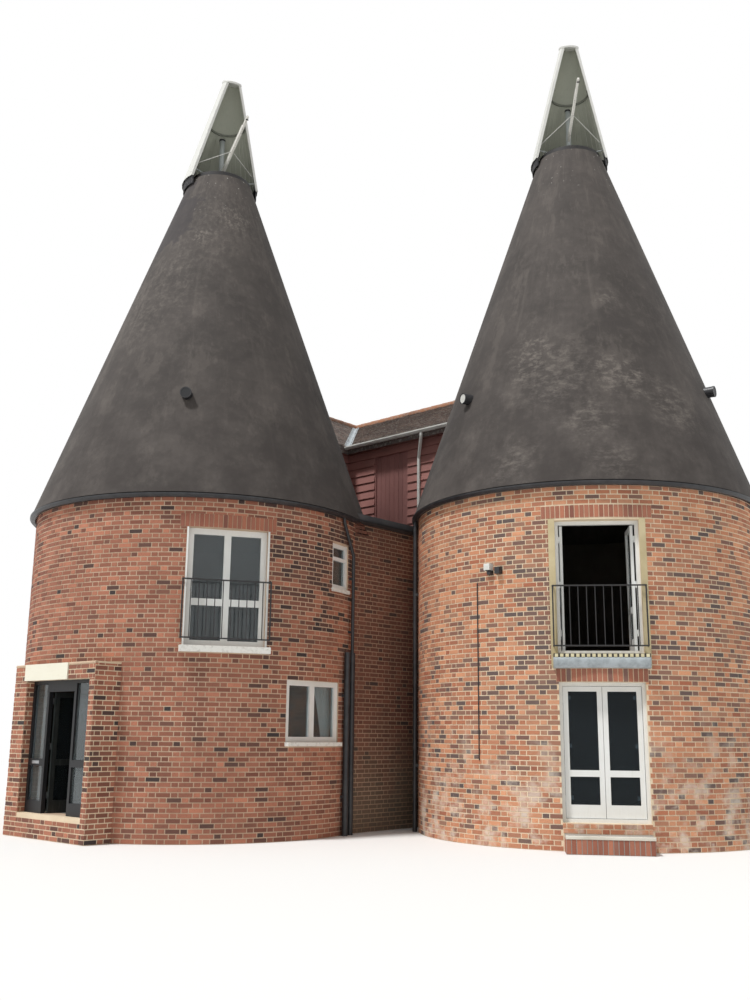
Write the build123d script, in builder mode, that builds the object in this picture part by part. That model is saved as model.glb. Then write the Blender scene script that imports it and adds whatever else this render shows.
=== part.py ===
"""Twin-roundel oast house: two round brick kilns with conical roofs and turning cowls,
a flat-roofed brick link between them, and an L-shaped stowage barn behind."""
import os
from math import atan2, cos, hypot, radians, sin, sqrt, tan

from build123d import *

os.makedirs("parts", exist_ok=True)

# Millimetres, +Z up. Until the last step the origin is on the ground, midway between the two
# kilns, with the kilns along X and the yard in front of them on the -Y side.

# Kilns
KILN_RADIUS = 3000.0
KILN_GAP = 1050.0
KILN_WALL = 340.0
LEFT_EAVES = 5390.0
RIGHT_EAVES = 5545.0
CONE_OVERHANG = 95.0
CONE_TOP_RADIUS = 640.0
CONE_HEIGHT_LEFT = 7010.0
CONE_HEIGHT_RIGHT = 7200.0
CONE_THICKNESS = 130.0

# Floors
GROUND_FLOOR = 370.0
UPPER_FLOOR = 2850.0
UPPER_FLOOR_THICKNESS = 220.0
SEAT_GAP = 0.3

# Openings of the right kiln, one above the other
RIGHT_BAY_ANGLE = -93.2
RIGHT_BAY_WIDTH = 1290.0
RIGHT_DOOR_HEAD = 2440.0
RIGHT_DOOR_SILL = 400.0
RIGHT_UPPER_SILL = 2860.0
RIGHT_UPPER_HEAD = 4930.0

# Openings of the left kiln
LEFT_FRENCH_ANGLE = -68.6
LEFT_FRENCH_WIDTH = 1280.0
LEFT_FRENCH_SILL = 2960.0
LEFT_FRENCH_HEAD = 4840.0
LOWER_WINDOW_ANGLE = -36.4
LOWER_WINDOW_WIDTH = 1230.0
LOWER_WINDOW_SILL = 1500.0
LOWER_WINDOW_HEAD = 2480.0
SMALL_WINDOW_ANGLE = -24.4
SMALL_WINDOW_WIDTH = 540.0
SMALL_WINDOW_SILL = 4070.0
SMALL_WINDOW_HEAD = 4850.0

# Joinery
REVEAL = 95.0
SHALLOW_REVEAL = 25.0
FRAME_WIDTH = 55.0
FRAME_DEPTH = 70.0
LEAF_THICKNESS = 45.0
LEAF_STILE = 75.0
LEAF_BOTTOM_RAIL = 190.0
LEAF_MID_RAIL = 95.0
LEAF_MID_RAIL_HEIGHT = 640.0
LEAF_GAP = 6.0
GLASS_THICKNESS = 8.0
PINTLE_RADIUS = 7.0
PINTLE_CLEARANCE = 0.3
EYE_WALL = 5.0
EYE_HEIGHT = 60.0
PINTLE_STANDOFF = 16.0
STRAP_LENGTH = 120.0
BRACKET_HEIGHT = 40.0
HINGE_LOW = 260.0
HINGE_MIDDLE = 1010.0
HINGE_HIGH = 1720.0
UPPER_LEAF_OPEN = 89.0
FRENCH_BORDER = 95.0
FRENCH_RAIL_HEIGHT = 700.0
LOWER_WINDOW_BORDER = 85.0
SMALL_WINDOW_BORDER = 70.0
SMALL_TRANSOM_DROP = 260.0
SASH_BAR = 110.0
SMALL_BAR = 60.0

# Entrance porch and screen on the left kiln
ENTRANCE_ANGLE = -128.0
PORCH_PROJECTION = 100.0
PORCH_REACH = 300.0
CUT_REACH = 500.0
PORCH_TOP = 2690.0
PORCH_LEFT = -870.0
PORCH_RIGHT = 1440.0
SCREEN_LEFT = -500.0
SCREEN_RIGHT = 1310.0
SCREEN_HEAD = 2430.0
SCREEN_SETBACK = 130.0
ENTRANCE_POST_LEFT = -40.0
ENTRANCE_POST_RIGHT = 740.0
ENTRANCE_POST_WIDTH = 60.0
ENTRANCE_DOOR_HEAD = 2250.0
ENTRANCE_DOOR_OPEN = 84.0
SCREEN_RAIL_HEIGHT = 1150.0
SCREEN_RAIL = 110.0
SIGN_LEFT = -550.0
SIGN_RIGHT = 710.0
SIGN_THICKNESS = 25.0

# Balcony rails, sills and step
RAIL_WIDTH = 1430.0
RAIL_BOTTOM = 110.0
RAIL_TOP = 1050.0
RAIL_BAR = 12.0
RAIL_BAR_COUNT = 10
RAIL_FRAME = 22.0
RAIL_STANDOFF = 55.0
SILL_HEIGHT = 100.0
SILL_PROJECTION = 60.0
WINDOW_SILL_HEIGHT = 60.0
WINDOW_SILL_PROJECTION = 30.0
WINDOW_SILL_HORN = 15.0
STEP_WIDTH = 1250.0
STEP_DEPTH = 330.0
STEP_HEIGHT = 250.0

# Cowls
COWL_BASE_RADIUS = 735.0
COWL_TOP_RADIUS = 165.0
COWL_HEIGHT_LEFT = 2120.0
COWL_HEIGHT_RIGHT = 2320.0
COWL_LEAN_LEFT = 438.0
COWL_LEAN_RIGHT = 393.0
COWL_SIDES = 32
COWL_SHELL = 28.0
COWL_LIFT = 40.0
COWL_RING_HEIGHT = 75.0
COWL_RING_WIDTH = 50.0
COWL_SKIRT_DROP = 150.0
COWL_SKIRT_WIDTH = 22.0
COWL_OPEN_SIDE_BASE = 290.0
COWL_OPEN_SIDE_TOP = 125.0
COWL_CAP_THICKNESS = 30.0
COWL_CAP_OVERHANG = 30.0
COWL_CAP_TILT = 22.0
COWL_HOOP_SHARE = 0.56
COWL_HOOP_HEIGHT = 45.0
COWL_HOOP_WIDTH = 18.0
LEFT_COWL_ANGLE = -58.0
RIGHT_COWL_ANGLE = -88.0
CURB_WIDTH = 60.0
CURB_HEIGHT = 90.0
CURB_INSET = 30.0
BEAM_WIDTH = 120.0
BEAM_DEPTH = 100.0
FOOT_BEAM_DROP = 900.0
SPINDLE_RADIUS = 38.0
SPINDLE_SHARE = 0.47
SPINDLE_CAP_RADIUS = 60.0
SPINDLE_CAP_THICKNESS = 30.0
BEARING_CLEARANCE = 0.3
BEARING_CUP_DEPTH = 45.0
TURNING_CLEARANCE = 10.0
VANE_LENGTH_LEFT = 1540.0
VANE_LENGTH_RIGHT = 1400.0
VANE_ROOT_LEFT = 150.0
VANE_ROOT_RIGHT = 390.0
VANE_RISE_ANGLE = 22.0
VANE_ROOT_DEPTH = 130.0
VANE_END_DEPTH = 90.0
VANE_STEP_LENGTH = 260.0
VANE_STEP_DEPTH = 50.0
VANE_THICKNESS = 40.0
STAY_RADIUS = 8.0
STAY_VANE_SHARE = 0.42
STAY_RIM_HEIGHT = 190.0

# Gutters, pipes, vents and lamps
GUTTER_RADIUS = 62.0
GUTTER_WALL = 9.0
GUTTER_SIDES = 8
GUTTER_DROP = 20.0
GUTTER_STOP = 10.0
DOWNPIPE_RADIUS = 40.0
SOIL_PIPE_RADIUS = 52.0
THIN_PIPE_RADIUS = 30.0
PIPE_STANDOFF = 25.0
CLIP_HEIGHT = 40.0
CLIP_SHARES = (0.2, 0.75)
RIGHT_PIPE_ANGLE = -177.0
LEFT_OUTLET_ANGLE = -24.5
LEFT_PIPE_ANGLE = -18.0
LEFT_SOIL_ANGLE = -21.6
LEFT_NECK_LOW = 4700.0
LEFT_PIPE_TOP = 3000.0
BARN_PIPE_RADIUS = 34.0
BARN_PIPE_ALONG = -1000.0
BARN_NECK_HEIGHT = 460.0
BARN_NECK_ALONG = 250.0
VENT_RADIUS = 95.0
VENT_LENGTH = 150.0
LAMP_RADIUS = 45.0
LAMP_LENGTH = 95.0

# Vents as the kiln (0 left, 1 right), the angle and the share of the cone's height;
# lamps as the angle and the share of the right kiln's eaves height
CONE_VENTS = ((0, -85.6, 0.26006), (1, -147.3, 0.26278), (1, -30.9, 0.27778))
LAMPS = ((-126.8, 0.76465), (-123.3, 0.75564))

# Yard grid of the barn and the link, turned against the line of the kilns
YARD_TURN = -38.0
CORNER_BEHIND_LEFT = 329.0
CORNER_BEFORE_RIGHT = 79.0
LINK_MEETS_LEFT = 24.6
WING_ONE_SPAN = 5400.0
WING_TWO_SPAN = 4600.0
WING_ONE_BEYOND_RIGHT = 322.0
WING_TWO_BEFORE_LEFT = 870.0
BARN_EAVES = 7830.0
BARN_BOARDED_HEIGHT = 2580.0
BARN_WALL = 340.0
BOARD_WALL = 160.0
ROOF_RISE = 1466.0
ROOF_THICKNESS = 170.0
EAVES_DROP = 120.0
VERGE_OVERHANG = 120.0
RIDGE_TILE_RADIUS = 110.0
RIDGE_TILE_SIDES = 12
RIDGE_TILE_RISE = 64.0
BARN_FLOOR_THICKNESS = 220.0
LOADING_DOOR_CENTRE = -1810.0
LOADING_DOOR_WIDTH = 940.0
LOADING_DOOR_DROP = 270.0
LOADING_DOOR_HEIGHT = 2000.0
LOADING_DOOR_THICKNESS = 60.0
LOADING_DOOR_RECESS = 25.0
LINK_ROOF_BELOW_DOOR = 40.0
LINK_ROOF_THICKNESS = 120.0
LINK_ROOF_OVERHANG = 60.0
FLASHING_GAP = 2.0
SLIVER = 1e6

# Where the round walls are divided, clear of the openings
RIGHT_SPLIT_ANGLES = (0.0, 90.0, 180.0)
LEFT_SPLIT_ANGLES = (-52.5, 20.0, 110.0)
INFILL_HALF_ANGLE = 45.0


class Kiln:
    """Where one kiln stands, how high it is, and the size of its cowl."""

    def __init__(self, name, x, eaves, cone_height, cowl_angle, hood_height, hood_lean):
        self.name = name
        self.x = x
        self.eaves = eaves
        self.cone_height = cone_height
        self.cone_top = eaves + cone_height
        self.cowl_angle = cowl_angle
        self.hood_base = self.cone_top + COWL_LIFT + COWL_RING_HEIGHT
        self.hood_height = hood_height
        self.hood_lean = hood_lean

    def bay(self, angle):
        """Upright plane through the kiln's axis: x to the right seen from outside, y up,
        z outwards."""
        turn = radians(angle)
        return Plane(
            origin=(self.x, 0, 0),
            x_dir=(-sin(turn), cos(turn), 0),
            z_dir=(cos(turn), sin(turn), 0),
        )

    def level(self, height):
        """Level plane on the kiln's axis."""
        return Plane(origin=(self.x, 0, height), x_dir=(1, 0, 0), z_dir=(0, 0, 1))

    def body(self, radius):
        """A cylinder from the ground to the eaves, to cut what runs into the kiln's wall."""
        column = Cylinder(radius, self.eaves, align=(Align.CENTER, Align.CENTER, Align.MIN))
        return column.moved(Location((self.x, 0, 0)))

    def point(self, angle, distance, height):
        """A point at an angle round the axis, a distance from it, and a height."""
        turn = radians(angle)
        return Vector(self.x + distance * cos(turn), distance * sin(turn), height)


KILN_INSIDE = KILN_RADIUS - KILN_WALL
CONE_EAVES_RADIUS = KILN_RADIUS + CONE_OVERHANG
CURB_OUTER_RADIUS = CONE_TOP_RADIUS - CURB_INSET
PORCH_FACE = KILN_RADIUS + PORCH_PROJECTION
EYE_RADIUS = PINTLE_RADIUS + PINTLE_CLEARANCE + EYE_WALL
HINGE_HEIGHTS = (HINGE_LOW, HINGE_MIDDLE, HINGE_HIGH)
half_spacing = KILN_RADIUS + KILN_GAP / 2
LEFT = Kiln(
    "left",
    -half_spacing,
    LEFT_EAVES,
    CONE_HEIGHT_LEFT,
    LEFT_COWL_ANGLE,
    COWL_HEIGHT_LEFT,
    COWL_LEAN_LEFT,
)
RIGHT = Kiln(
    "right",
    half_spacing,
    RIGHT_EAVES,
    CONE_HEIGHT_RIGHT,
    RIGHT_COWL_ANGLE,
    COWL_HEIGHT_RIGHT,
    COWL_LEAN_RIGHT,
)
YARD = Plane(
    origin=(0, 0, 0),
    x_dir=(cos(radians(YARD_TURN)), sin(radians(YARD_TURN)), 0),
    z_dir=(0, 0, 1),
)
along_dir = YARD.x_dir
across_dir = YARD.y_dir

# Yard grid: the right kiln's place on it, and the barn and the link set out from the kilns
kiln_along = half_spacing * cos(radians(YARD_TURN))
kiln_across = -half_spacing * sin(radians(YARD_TURN))
corner_along = -kiln_along - CORNER_BEHIND_LEFT
corner_across = kiln_across - CORNER_BEFORE_RIGHT
wing_one_end = kiln_along + WING_ONE_BEYOND_RIGHT
wing_two_end = -kiln_across + WING_TWO_BEFORE_LEFT
link_face = -kiln_along + KILN_RADIUS * cos(radians(LINK_MEETS_LEFT))
barn_left = corner_along - WING_TWO_SPAN
barn_back = corner_across + WING_ONE_SPAN
RIDGE = BARN_EAVES + ROOF_RISE
BARN_BRICK_TOP = BARN_EAVES - BARN_BOARDED_HEIGHT
LOADING_DOOR_SILL = BARN_EAVES - LOADING_DOOR_DROP - LOADING_DOOR_HEIGHT
LINK_TOP = LOADING_DOOR_SILL - LINK_ROOF_BELOW_DOOR - LINK_ROOF_THICKNESS

pieces = {}


def keep(name, part):
    """Labels a finished piece and remembers it for the export."""
    part.label = name
    pieces[name] = part


def jamb_depth(width, reveal=REVEAL):
    """Distance from the kiln's axis to the outer face of a frame set back in its reveal."""
    return sqrt(KILN_RADIUS**2 - (width / 2) ** 2) - reveal


def ring_sector(kiln, start, end, low, high):
    """A curved stretch of kiln wall between two angles and two heights."""
    with BuildPart() as wall:
        with BuildSketch(kiln.level(low)):
            with BuildLine():
                outer = CenterArc((0, 0), KILN_RADIUS, start, end - start)
                inner = CenterArc((0, 0), KILN_INSIDE, start, end - start)
                Line(outer @ 0, inner @ 0)
                Line(outer @ 1, inner @ 1)
            make_face()
        extrude(amount=high - low)
    return wall.part


def bay_box(kiln, angle, left, right, low, high, inner=0.0, outer=KILN_RADIUS + CUT_REACH):
    """A straight-sided block in front of the kiln's axis, as an opening is cut."""
    with BuildPart() as block:
        with BuildSketch(kiln.bay(angle).offset(inner)):
            with Locations(((left + right) / 2, (low + high) / 2)):
                Rectangle(right - left, high - low)
        extrude(amount=outer - inner)
    return block.part


def kiln_wall(kiln, start, end, openings):
    """A full-height arc of the kiln's wall with its openings cut through."""
    wall = ring_sector(kiln, start, end, 0, kiln.eaves)
    for angle, left, right, low, high in openings:
        wall = wall - bay_box(kiln, angle, left, right, low, high)
    return wall


def bay_infill(kiln, angle, left, right, levels):
    """The brickwork under, between and over the openings of one bay."""
    whole = ring_sector(kiln, angle - INFILL_HALF_ANGLE, angle + INFILL_HALF_ANGLE, 0, kiln.eaves)
    blocks = [whole & bay_box(kiln, angle, left, right, low, high) for low, high in levels]
    return Compound(children=[solid for block in blocks for solid in block.solids()])


def framed(plane, left, right, low, high, depth, border, mullions=(), transoms=(), bar=None):
    """A rectangular timber frame with its mullions and transoms, as one solid."""
    bar = bar or border
    with BuildPart() as frame:
        with BuildSketch(plane):
            with Locations(((left + right) / 2, (low + high) / 2)):
                Rectangle(right - left, high - low)
                Rectangle(right - left - 2 * border, high - low - 2 * border, mode=Mode.SUBTRACT)
            for x in mullions:
                with Locations((x, (low + high) / 2)):
                    Rectangle(bar, high - low - border)
            for y in transoms:
                with Locations(((left + right) / 2, y)):
                    Rectangle(right - left - border, bar)
        extrude(amount=-depth)
    return frame.part


def pane(plane, left, right, low, high, back, clearance=SEAT_GAP):
    """One sheet of glass, its front face at a distance behind the plane."""
    with BuildPart() as sheet:
        with BuildSketch(plane.offset(-back)):
            with Locations(((left + right) / 2, (low + high) / 2)):
                Rectangle(right - left - 2 * clearance, high - low - 2 * clearance)
        extrude(amount=-GLASS_THICKNESS)
    return sheet.part


# Kiln walls. The arcs run anticlockwise seen from above, and meet face to face.
right_half = RIGHT_BAY_WIDTH / 2
right_door_bay = (RIGHT_BAY_ANGLE, -right_half, right_half, 0, RIGHT_EAVES)
right_splits = (RIGHT_BAY_ANGLE, *RIGHT_SPLIT_ANGLES, 360.0 + RIGHT_BAY_ANGLE)
for name, start, end in zip(("east", "north_east", "north_west", "west"), right_splits, right_splits[1:]):
    keep(f"right_kiln_wall_{name}", kiln_wall(RIGHT, start, end, [right_door_bay]))
right_levels = ((0, RIGHT_DOOR_SILL), (RIGHT_DOOR_HEAD, RIGHT_UPPER_SILL), (RIGHT_UPPER_HEAD, RIGHT_EAVES))
keep("right_kiln_door_bay", bay_infill(RIGHT, RIGHT_BAY_ANGLE, -right_half, right_half, right_levels))

french_half = LEFT_FRENCH_WIDTH / 2
lower_half = LOWER_WINDOW_WIDTH / 2
small_half = SMALL_WINDOW_WIDTH / 2
entrance_bay = (ENTRANCE_ANGLE, SCREEN_LEFT, SCREEN_RIGHT, 0, LEFT_EAVES)
left_openings = [
    entrance_bay,
    (LEFT_FRENCH_ANGLE, -french_half, french_half, LEFT_FRENCH_SILL, LEFT_FRENCH_HEAD),
    (LOWER_WINDOW_ANGLE, -lower_half, lower_half, LOWER_WINDOW_SILL, LOWER_WINDOW_HEAD),
    (SMALL_WINDOW_ANGLE, -small_half, small_half, SMALL_WINDOW_SILL, SMALL_WINDOW_HEAD),
]
left_splits = (ENTRANCE_ANGLE, *LEFT_SPLIT_ANGLES, 360.0 + ENTRANCE_ANGLE)
for name, start, end in zip(("south", "east", "north", "west"), left_splits, left_splits[1:]):
    keep(f"left_kiln_wall_{name}", kiln_wall(LEFT, start, end, left_openings))
left_levels = ((0, GROUND_FLOOR), (SCREEN_HEAD, LEFT_EAVES))
keep("left_kiln_entrance_bay", bay_infill(LEFT, ENTRANCE_ANGLE, SCREEN_LEFT, SCREEN_RIGHT, left_levels))

# Kiln floors
floor_radius = KILN_INSIDE - SEAT_GAP
for floor_name, low, high in (
    ("kiln_ground_floors", 0.0, GROUND_FLOOR),
    ("kiln_upper_floors", UPPER_FLOOR - UPPER_FLOOR_THICKNESS, UPPER_FLOOR),
):
    with BuildPart() as floors:
        for kiln in (LEFT, RIGHT):
            with BuildSketch(kiln.level(low)):
                Circle(floor_radius)
            extrude(amount=high - low)
    keep(floor_name, floors.part)


# Conical roofs, open at the top under the cowl
def cone_roof(kiln):
    """The shell of a kiln's roof, seated on the wall head."""
    run = CONE_EAVES_RADIUS - CONE_TOP_RADIUS
    slope = atan2(kiln.cone_height, run)
    across = CONE_THICKNESS / sin(slope)
    with BuildPart() as roof:
        with BuildSketch(Plane(origin=(kiln.x, 0, 0), x_dir=(1, 0, 0), z_dir=(0, -1, 0))):
            with BuildLine():
                Polyline(
                    (CONE_EAVES_RADIUS, kiln.eaves),
                    (CONE_TOP_RADIUS, kiln.cone_top),
                    (CONE_TOP_RADIUS - across, kiln.cone_top),
                    (CONE_EAVES_RADIUS - across, kiln.eaves),
                    close=True,
                )
            make_face()
        revolve(axis=Axis((kiln.x, 0, 0), (0, 0, 1)))
    return roof.part


def cone_radius(kiln, height):
    """Outer radius of the conical roof at a height above the ground."""
    share = (height - kiln.eaves) / kiln.cone_height
    return CONE_EAVES_RADIUS + share * (CONE_TOP_RADIUS - CONE_EAVES_RADIUS)


for kiln in (LEFT, RIGHT):
    keep(f"{kiln.name}_cone_roof", cone_roof(kiln))


# Cowl curb: a ring on the cone's rim with a cross beam and the upper bearing,
# and a lower beam inside the cone that carries the spindle's foot
def cone_inside(kiln, height):
    run = CONE_EAVES_RADIUS - CONE_TOP_RADIUS
    return cone_radius(kiln, height) - CONE_THICKNESS * hypot(kiln.cone_height, run) / kiln.cone_height


def cowl_curb(kiln):
    """Curb ring, upper beam with its bearing hole, and lower beam with its cup."""
    foot_top = kiln.cone_top - FOOT_BEAM_DROP
    beam_half = sqrt(cone_inside(kiln, foot_top) ** 2 - (BEAM_WIDTH / 2) ** 2) - 4 * SEAT_GAP
    bore = SPINDLE_RADIUS + BEARING_CLEARANCE
    with BuildPart() as curb:
        with BuildSketch(kiln.level(kiln.cone_top)):
            Circle(CURB_OUTER_RADIUS)
            Circle(CURB_OUTER_RADIUS - CURB_WIDTH, mode=Mode.SUBTRACT)
            Rectangle(2 * CURB_OUTER_RADIUS - CURB_WIDTH, BEAM_WIDTH)
            Circle(bore, mode=Mode.SUBTRACT)
        extrude(amount=CURB_HEIGHT)
        with BuildSketch(kiln.level(foot_top - BEAM_DEPTH)):
            Rectangle(2 * beam_half, BEAM_WIDTH)
        extrude(amount=BEAM_DEPTH)
        with BuildSketch(kiln.level(foot_top - BEARING_CUP_DEPTH)):
            Circle(bore)
        extrude(amount=BEARING_CUP_DEPTH, mode=Mode.SUBTRACT)
    return curb.part


# Cowls
def cowl_plane(kiln, height):
    """Level plane on the kiln's axis with x towards the cowl's open side."""
    turn = radians(kiln.cowl_angle)
    return Plane(origin=(kiln.x, 0, height), x_dir=(cos(turn), sin(turn), 0), z_dir=(0, 0, 1))


def cowl_side(kiln):
    """Upright plane through the cowl's middle, x towards its open side and y up."""
    turn = radians(kiln.cowl_angle)
    return Plane(origin=(kiln.x, 0, 0), x_dir=(cos(turn), sin(turn), 0), z_dir=(sin(turn), -cos(turn), 0))


def cowl_section(kiln, share):
    """Radius and forward lean of the hood at a share of its height."""
    radius = COWL_BASE_RADIUS + share * (COWL_TOP_RADIUS - COWL_BASE_RADIUS)
    return radius, share * kiln.hood_lean


def cowl_hood(kiln):
    """Leaning hood of flat tapering boards, with its front cut away, and its tilted flat cap."""
    base = kiln.hood_base
    top = base + kiln.hood_height
    beyond = 2 * COWL_BASE_RADIUS
    turn, tilt = radians(kiln.cowl_angle), radians(COWL_CAP_TILT)
    rear = kiln.hood_lean - COWL_TOP_RADIUS
    rear_height = top + COWL_CAP_THICKNESS * (1 - cos(tilt)) - COWL_CAP_OVERHANG * sin(tilt)
    fall = beyond * tan(tilt)
    middle = (rear + COWL_TOP_RADIUS * cos(tilt), rear_height - COWL_TOP_RADIUS * sin(tilt))
    cap_plane = Plane(
        origin=tuple(cowl_side(kiln).from_local_coords((*middle, 0))),
        x_dir=(cos(turn) * cos(tilt), sin(turn) * cos(tilt), -sin(tilt)),
        z_dir=(cos(turn) * sin(tilt), sin(turn) * sin(tilt), cos(tilt)),
    )
    with BuildPart() as hood:
        for shrink, mode in ((0, Mode.ADD), (COWL_SHELL, Mode.SUBTRACT)):
            for share in (0, 1):
                radius, lean = cowl_section(kiln, share)
                with BuildSketch(cowl_plane(kiln, base + share * kiln.hood_height)):
                    with Locations((lean, 0)):
                        RegularPolygon(radius - shrink, COWL_SIDES)
            loft(ruled=True, mode=mode)
        with BuildSketch(cowl_side(kiln)):
            with BuildLine():
                Polyline(
                    (COWL_OPEN_SIDE_BASE, base - TURNING_CLEARANCE),
                    (COWL_OPEN_SIDE_TOP + kiln.hood_lean, top + TURNING_CLEARANCE),
                    (beyond, top + TURNING_CLEARANCE),
                    (beyond, base - TURNING_CLEARANCE),
                    close=True,
                )
            make_face()
            with BuildLine():
                Polyline(
                    (rear - beyond, rear_height + fall),
                    (rear + beyond, rear_height - fall),
                    (rear + beyond, top + beyond),
                    close=True,
                )
            make_face()
        extrude(amount=beyond, both=True, mode=Mode.SUBTRACT)
        with BuildSketch(cap_plane):
            Ellipse(COWL_TOP_RADIUS + COWL_CAP_OVERHANG, COWL_TOP_RADIUS + COWL_CAP_OVERHANG / 2)
        extrude(amount=COWL_CAP_THICKNESS)
    return hood.part


def cowl_frame(kiln):
    """Open turning ring with its skirt and arms, the spindle, and the hoop inside the hood."""
    ring = kiln.cone_top + COWL_LIFT
    arms = kiln.cone_top + CURB_HEIGHT + TURNING_CLEARANCE
    foot = kiln.cone_top - FOOT_BEAM_DROP - BEARING_CUP_DEPTH + SEAT_GAP
    spindle_top = kiln.hood_base + SPINDLE_SHARE * kiln.hood_height
    hoop = kiln.hood_base + COWL_HOOP_SHARE * kiln.hood_height
    hoop_radius, lean = cowl_section(kiln, COWL_HOOP_SHARE + COWL_HOOP_HEIGHT / kiln.hood_height)
    inscribed = (hoop_radius - COWL_SHELL) * cos(radians(180 / COWL_SIDES)) - SEAT_GAP
    front = COWL_OPEN_SIDE_TOP + kiln.hood_lean - COWL_OPEN_SIDE_BASE
    edge = COWL_OPEN_SIDE_BASE + COWL_HOOP_SHARE * front
    with BuildPart() as frame:
        with BuildSketch(cowl_plane(kiln, arms)):
            Circle(COWL_BASE_RADIUS)
            Circle(COWL_BASE_RADIUS - COWL_RING_WIDTH, mode=Mode.SUBTRACT)
            Rectangle(2 * COWL_BASE_RADIUS - COWL_RING_WIDTH, COWL_RING_WIDTH)
            Rectangle(COWL_RING_WIDTH, 2 * COWL_BASE_RADIUS - COWL_RING_WIDTH)
        extrude(amount=kiln.hood_base - arms)
        for low, high, width in (
            (ring, kiln.hood_base, COWL_RING_WIDTH),
            (kiln.cone_top - COWL_SKIRT_DROP, ring, COWL_SKIRT_WIDTH),
        ):
            with BuildSketch(cowl_plane(kiln, low)):
                Circle(COWL_BASE_RADIUS)
                Circle(COWL_BASE_RADIUS - width, mode=Mode.SUBTRACT)
            extrude(amount=high - low)
        with BuildSketch(cowl_plane(kiln, kiln.cone_top - COWL_SKIRT_DROP)):
            with Locations((COWL_OPEN_SIDE_BASE + COWL_BASE_RADIUS, 0)):
                Rectangle(2 * COWL_BASE_RADIUS, 4 * COWL_BASE_RADIUS)
        extrude(amount=COWL_SKIRT_DROP + COWL_LIFT + COWL_RING_HEIGHT, mode=Mode.SUBTRACT)
        with BuildSketch(cowl_plane(kiln, foot)):
            Circle(SPINDLE_RADIUS)
        extrude(amount=spindle_top - foot)
        with BuildSketch(cowl_plane(kiln, spindle_top)):
            Circle(SPINDLE_CAP_RADIUS)
        extrude(amount=SPINDLE_CAP_THICKNESS)
        with BuildSketch(cowl_plane(kiln, hoop)):
            with Locations((lean, 0)):
                Circle(inscribed)
                Circle(inscribed - COWL_HOOP_WIDTH, mode=Mode.SUBTRACT)
            with Locations((edge + COWL_BASE_RADIUS, 0)):
                Rectangle(2 * COWL_BASE_RADIUS, 4 * COWL_BASE_RADIUS, mode=Mode.SUBTRACT)
        extrude(amount=COWL_HOOP_HEIGHT)
    return frame.part


def rod(start, end, radius):
    """A straight round bar between two points."""
    direction = Vector(*end) - Vector(*start)
    with BuildPart() as bar:
        with BuildSketch(Plane(origin=start, z_dir=direction)):
            Circle(radius)
        extrude(amount=direction.length)
    return bar.part


def cowl_vane(kiln, length, root):
    """Fly board that rises from the spindle through the open side, and its two stays."""
    side = cowl_side(kiln)
    rise = radians(VANE_RISE_ANGLE)
    start = Vector(SPINDLE_RADIUS + SEAT_GAP, kiln.hood_base + root)
    along = Vector(cos(rise), sin(rise))
    square = Vector(-sin(rise), cos(rise))
    corners = [
        start,
        start + along * length,
        start + along * length + square * VANE_STEP_DEPTH,
        start + along * (length - VANE_STEP_LENGTH) + square * VANE_STEP_DEPTH,
        start + along * (length - VANE_STEP_LENGTH) + square * VANE_END_DEPTH,
        Vector(start.X, start.Y + VANE_ROOT_DEPTH),
    ]
    with BuildPart() as board:
        with BuildSketch(side):
            with BuildLine():
                Polyline(*[(corner.X, corner.Y) for corner in corners], close=True)
            make_face()
        extrude(amount=VANE_THICKNESS / 2, both=True)
    meet = start + along * (length * STAY_VANE_SHARE) + square * (VANE_END_DEPTH / 2)
    radius, lean = cowl_section(kiln, STAY_RIM_HEIGHT / kiln.hood_height)
    inscribed = (radius - COWL_SHELL) * cos(radians(180 / COWL_SIDES))
    rim_x = COWL_OPEN_SIDE_BASE - 3 * STAY_RADIUS
    rim_y = sqrt(inscribed**2 - (rim_x - lean) ** 2) - STAY_RADIUS
    vane = board.part
    for hand in (-1, 1):
        rim = side.from_local_coords((rim_x, kiln.hood_base + STAY_RIM_HEIGHT, hand * rim_y))
        tip = side.from_local_coords((meet.X, meet.Y, hand * VANE_THICKNESS / 4))
        vane = vane + rod(tuple(rim), tuple(tip), STAY_RADIUS)
    return vane


for kiln, vane_length, vane_root in (
    (LEFT, VANE_LENGTH_LEFT, VANE_ROOT_LEFT),
    (RIGHT, VANE_LENGTH_RIGHT, VANE_ROOT_RIGHT),
):
    keep(f"{kiln.name}_cowl_curb", cowl_curb(kiln))
    keep(f"{kiln.name}_cowl_hood", cowl_hood(kiln))
    keep(f"{kiln.name}_cowl_frame", cowl_frame(kiln))
    keep(f"{kiln.name}_cowl_vane", cowl_vane(kiln, vane_length, vane_root))


# French doors of the right kiln: a frame, and two leaves that open inwards on pintles
def door_leaf(plane, left, right, low, high, rail):
    """A glazed timber leaf with a mid rail and a deep bottom rail. Its front is the plane."""
    with BuildPart() as leaf:
        with BuildSketch(plane):
            with Locations(((left + right) / 2, (low + high) / 2)):
                Rectangle(right - left, high - low)
            for bottom, top in leaf_panes(low, high, rail):
                with Locations(((left + right) / 2, (bottom + top) / 2)):
                    Rectangle(right - left - 2 * LEAF_STILE, top - bottom, mode=Mode.SUBTRACT)
        extrude(amount=-LEAF_THICKNESS)
    return leaf.part


def leaf_panes(low, high, rail):
    """Heights of the lower and the upper pane of a leaf, with its mid rail at a height."""
    return (
        (low + LEAF_BOTTOM_RAIL, rail - LEAF_MID_RAIL / 2),
        (rail + LEAF_MID_RAIL / 2, high - LEAF_STILE),
    )


def leaf_glass(plane, left, right, low, high, rail):
    """The two panes of a leaf, in the middle of its thickness."""
    back = (LEAF_THICKNESS - GLASS_THICKNESS) / 2
    sheets = [
        pane(plane, left + LEAF_STILE, right - LEAF_STILE, bottom, top, back)
        for bottom, top in leaf_panes(low, high, rail)
    ]
    return Compound(children=[solid for sheet in sheets for solid in sheet.solids()])


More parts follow.
